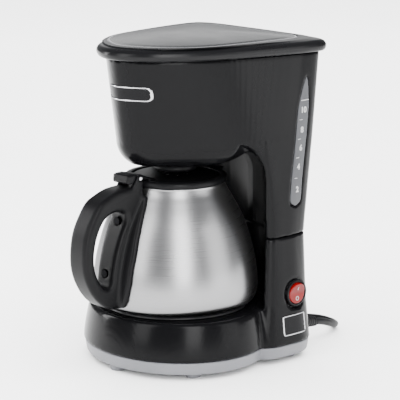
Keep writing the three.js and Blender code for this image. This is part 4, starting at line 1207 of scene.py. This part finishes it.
# ---- switch
def build_switch():
    at_switch = Matrix.Translation((0, SWITCH_Y, SWITCH_Z))
    back = SWITCH_FACE + GAP
    bezel = [
        (9.3, back), (11.3, back), (11.3, back + 1.4), (11, back + 1.9), (10.5, back + 2.1),
        (9.7, back + 2.05), (9.35, back + 1.6), (9.3, back)
    ]
    link(
        "switch_ring", lathe(bezel, 96, axis="x", place=at_switch), "housing", "satin_black", satin_black,
        "switch_bezel"
    )
    g = Grid((77.6, 54, 47.5), (86, 74, 67.5), 0.35)
    pivot, s, c = back + 0.6, math.sin(math.radians(7)), math.cos(math.radians(7))
    dx, dz = g.x - pivot, g.z - SWITCH_Z
    lx, lz = dx * c - dz * s, dx * s + dz * c
    disc = np.hypot(g.y - SWITCH_Y, lz) - 8.8
    face = (lx + pivot) - (pivot + 1.3 + 1.9 * np.sqrt(lz**2 + 0.6) / 9.5)
    rocker = both(both(disc, face, 0.9), back - (lx + pivot), 0.3)
    link("red_rocker", g.mesh(rocker), "rocker", "red_lens", red_lens, "switch_rocker")

    def on_face(y, z_local, lift):
        x_local = 1.3 + 1.9 * math.sqrt(z_local**2 + 0.6) / 9.5 + lift
        return (pivot + x_local * c + z_local * s, SWITCH_Y + y, SWITCH_Z - x_local * s + z_local * c)

    bar = [on_face(y, z, 0.02) for y, z in zip(np.zeros(8), np.linspace(2.9, 5.7, 8))]
    link("switch_mark_bar", tube(bar, 0.32, 10), "rocker", "silver", badge_print)
    ring = [
        on_face(1.5 * math.cos(a), -4.4 + 1.5 * math.sin(a), 0.02)
        for a in np.linspace(0, 2 * math.pi - 0.02, 40)
    ]
    link("switch_mark_ring", tube(ring, 0.28, 10), "rocker", "silver", badge_print)


# ---- badges and level marks
def build_badges():
    g = Grid((-31, -76, 223), (31, -42, 240), 0.5)
    skin = g.outline([(z, mirrored(head_half(z), 240)) for z in (223, 240)])

    def panel(u, v, cu, cv, half_u, half_v, r):
        qu, qv = np.abs(u - cu) - half_u + r, np.abs(v - cv) - half_v + r
        return np.hypot(np.maximum(qu, 0), np.maximum(qv, 0)) + np.minimum(np.maximum(qu, qv), 0) - r

    shape = panel(g.x, g.z, 6.5, 231.2, 20.5, 6.0, 4.2)
    plate = both(both(shape + 0.9, skin - 0.5), -0.8 - skin)
    rim = both(both(np.maximum(shape, -shape - 1.35), skin - 0.95, 0.3), -0.8 - skin)
    link("front_plate", g.mesh(plate), "housing", "gloss_black", badge_dark, "front_badge")
    link("front_plate_rim", g.mesh(rim), "housing", "silver", silver)
    g = Grid((70, 43, 20), (90, 76, 44), 0.5)
    skin = np.minimum(column_field(g), drum_field(g))
    shape = panel(g.y, g.z, 59.25, 31.9, 13.25, 8.5, 2.2)
    plate = both(both(shape + 0.7, skin - 0.45), -0.8 - skin)
    rim = both(both(np.maximum(shape, -shape - 1.25), skin - 0.9, 0.3), -0.8 - skin)
    link("side_plate", g.mesh(plate), "housing", "gloss_black", badge_dark, "side_badge")
    link("side_plate_rim", g.mesh(rim), "housing", "silver", silver)


def skin_x(y, z):
    """Where the right side of the upper body is, in mm, at a place on it."""
    points = mirrored(column_half(z) if z < ARCH_Z else head_half(z), 400)
    side = points[(points[:, 0] > 55) & (points[:, 1] > 30)]
    side = side[np.argsort(side[:, 1])]
    return float(np.interp(y, side[:, 1], side[:, 0]))


def build_level_marks():
    for label, y, z in (
        ("10", 74.4, 210.8), ("8", 72.7, 194.3), ("6", 71.4, 179.3), ("4", 68.9, 163.6), ("2", 67.7, 144.7)
    ):
        text = bpy.data.curves.new("mark", "FONT")
        text.body = label
        text.size = 0.0066
        text.offset = 0.00025
        text.extrude = 0.00008
        text.align_x = "CENTER"
        text.align_y = "CENTER"
        text.resolution_u = 4
        maker = bpy.data.objects.new("mark", text)
        mesh = bpy.data.meshes.new_from_object(maker)
        x = skin_x(y, z)
        dy = (skin_x(y + 1, z) - skin_x(y - 1, z)) / 2
        dz = (skin_x(y, z + 3) - skin_x(y, z - 3)) / 6
        along = Vector((dy, 1, 0)).normalized()
        upward = Vector((dz, 0, 1)).normalized()
        normal = along.cross(upward).normalized()
        frame_of_mark = Matrix((along, upward, normal)).transposed().to_4x4()
        mesh.transform(Matrix.Translation(at(x - 0.1, y, z)) @ frame_of_mark)
        link(f"level_mark_{label}", mesh, "housing", "silver", badge_print, smooth=False)
        bpy.data.objects.remove(maker)
        bpy.data.curves.remove(text)
    rows = []
    for z in (219.0, 203.0, 187.0, 171.5, 154.5):
        centre = 66.2 + (z - 130.5) * 0.1106
        rows.append((z, centre - 4.6, centre - 1.4 if z != 219.0 else centre + 4.0))
    for i, (z, y0, y1) in enumerate(rows):
        line = [(skin_x(y, z) - 0.1, y, z) for y in np.linspace(y0, y1, 8)]
        link(f"level_line_{i}", tube(line, 0.42 if i == 0 else 0.28, 10), "housing", "silver", badge_print)


# ---- smooth copies of small round parts
def build_small_parts():
    end_x = 40 * math.cos(math.pi * 0.81 - math.pi / 2)

    def low_run(side):
        return [
            (side * HOSE_X, HOSE_Y, 70), (side * HOSE_X, HOSE_Y, 60),
            (side * (HOSE_X - 0.6), HOSE_Y - 0.8, 46), (side * (HOSE_X - 4), HOSE_Y - 5, 38.6),
            (side * (end_x + 10), 62, 36.2), (side * end_x, 54, 36), (side * end_x, 49, 36),
            (side * end_x, 44.4, 36),
        ]

    inlet = spline([(HOSE_X, HOSE_Y, 87.7), (HOSE_X, HOSE_Y, 80)] + low_run(1), 70)
    link("feed_hose", tube(inlet, HOSE_R, 24), "housing", "silicone", silicone, "inlet_hose")
    riser = low_run(-1)[::-1] + [
        (-HOSE_X, HOSE_Y, 80), (-HOSE_X, HOSE_Y, 120), (-HOSE_X, HOSE_Y, 200), (-HOSE_X, HOSE_Y, 222),
        (-41, 71, 235), (-31, 62, 244),
        (-22.6, 54.4, 247), (NOZZLE_X, NOZZLE_Y, 250.4), (NOZZLE_X, NOZZLE_Y, 253.8),
    ]
    link(
        "hot_water_tube", tube(spline(riser, 130), HOSE_R, 24), "housing", "silicone", silicone,
        "riser_tube"
    )
    bail = [(40.1 * math.cos(a), 4 - 12 * math.sin(a), 238.6) for a in np.linspace(0, math.pi, 60)]
    link("bail", tube(bail, 1.3, 16), "basket_bail", "steel", small_steel, "basket_handle")
    pin = rounded([(0, -10.4), (1.5, -10.4), (1.5, 10.4), (0, 10.4)], {1: 0.4, 2: 0.4})
    link(
        "thumb_lever_pin", lathe(pin, 32, axis="x", place=Matrix.Translation((0, JUG_PIN_Y, JUG_PIN_Z))),
        "jug", "steel", small_steel, "jug_lid_pin"
    )

    g = Grid((-34, -34, 253), (34, 63, 264), 0.9)

    def tray(grow, low, high):
        arm = block(g, (-28 - grow, 10, low), (-12 + grow, 53, high))
        return union(
            union(
                rod(g, 2, 32 + grow, low, high, 0, 0), rod(g, 2, 8 + grow, low, high, NOZZLE_X, NOZZLE_Y)
            ),
            arm, 0.0
        )

    plate = less(tray(0, 254.4, 262), tray(-1.8, 256.2, 270), 0.5)
    for count, radius in ((8, 18), (6, 9), (12, 26)):
        for c, s in round_circle(count):
            plate = less(plate, rod(g, 2, 1.5, 250, 258, radius * c, radius * s))
    plate = less(plate, rod(g, 2, 4.6, 250, 258, NOZZLE_X, NOZZLE_Y))
    link("spreader", g.mesh(plate), "lid", "inner_black", inner_black, "shower_plate")


# ---- finishes of the CAD parts that stay as they are
def paint_kept_parts():
    by_slot = {
        "light_grey": plate_grey, "steel": small_steel, "gloss_black": body_black,
        "plate_coating": hot_coating, "aluminium": aluminium, "ceramic": ceramic,
        "silver": silver, "window_grey": window_grey, "satin_black": satin_black,
        "inner_black": inner_black, "silicone": silicone, "red_lens": red_lens,
        "cord_black": cord_black, "brass": brass,
    }
    slots = {s["node"]: s["material_slot"] for s in frame["record"]["subparts"]}
    for name, obj in frame["nodes"].items():
        if not obj.material_slots:
            obj.data.materials.append(by_slot[slots[name]])
        for place in obj.material_slots:
            place.material = screw_black if name.startswith("handle_screw") else by_slot[slots[name]]


# ---- floor and light
def build_stage():
    m, tree, bsdf = shader("pale_floor")
    cloud = texture(tree, "ShaderNodeTexNoise", 3, Detail=2.0)
    tree.links.new(
        tinted(tree, cloud.outputs["Fac"], (0.9, 0.9, 0.9), (0.93, 0.93, 0.93)), bsdf.inputs["Base Color"]
    )
    put(bsdf, Roughness=0.85, Specular_IOR_Level=0.1)
    size, n = 9.0, 24
    vertices = [
        (size * (2 * i / n - 1), size * (2 * j / n - 1), 0.0) for j in range(n + 1) for i in range(n + 1)
    ]
    floor = bpy.data.objects.new("floor", mesh_of(vertices, row_faces(n + 1, n + 1, closed=False)))
    bpy.context.scene.collection.objects.link(floor)
    floor.data.materials.append(m)

    world = bpy.data.worlds.new("studio")
    bpy.context.scene.world = world
    world.use_nodes = True
    put(world.node_tree.nodes["Background"], Color=(0.95, 0.97, 1.0, 1), Strength=0.42)

    def softbox(name, azimuth, elevation, distance, width, height, power, reflected=True):
        """A rectangular light; azimuth and elevation as for the camera, in degrees."""
        a, e = math.radians(azimuth), math.radians(elevation)
        direction = Vector((math.sin(a) * math.cos(e), -math.cos(a) * math.cos(e), math.sin(e)))
        data = bpy.data.lights.new(name, "AREA")
        data.shape = "RECTANGLE"
        data.size, data.size_y = width, height
        data.energy = power
        lamp = bpy.data.objects.new(name, data)
        bpy.context.scene.collection.objects.link(lamp)
        lamp.visible_camera = False
        lamp.visible_glossy = reflected
        lamp.location = Vector((0, 0, 0.14)) + direction * distance
        lamp.rotation_euler = direction.to_track_quat("Z", "Y").to_euler()

    softbox("top", 227, 80, 3.2, 7.0, 7.0, 1250, reflected=False)
    softbox("front", 59, 22, 1.9, 0.7, 1.7, 56)
    softbox("right_strip", 112, 13, 1.3, 0.7, 0.9, 9)
    softbox("front_left", -4, 20, 1.4, 0.5, 1.1, 15)
    softbox("left_strip", -58, 12, 1.1, 0.16, 0.6, 8)
    softbox("rear", 226, 17, 2.2, 1.2, 0.6, 3)


for build in (
    build_cord, build_tank_housing, build_window, build_base_housing, build_base_plate,
    build_hot_plate, build_lid, build_jug, build_handle, build_turned_parts, build_switch,
    build_badges, build_level_marks, build_small_parts, paint_kept_parts, build_stage,
):
    build()
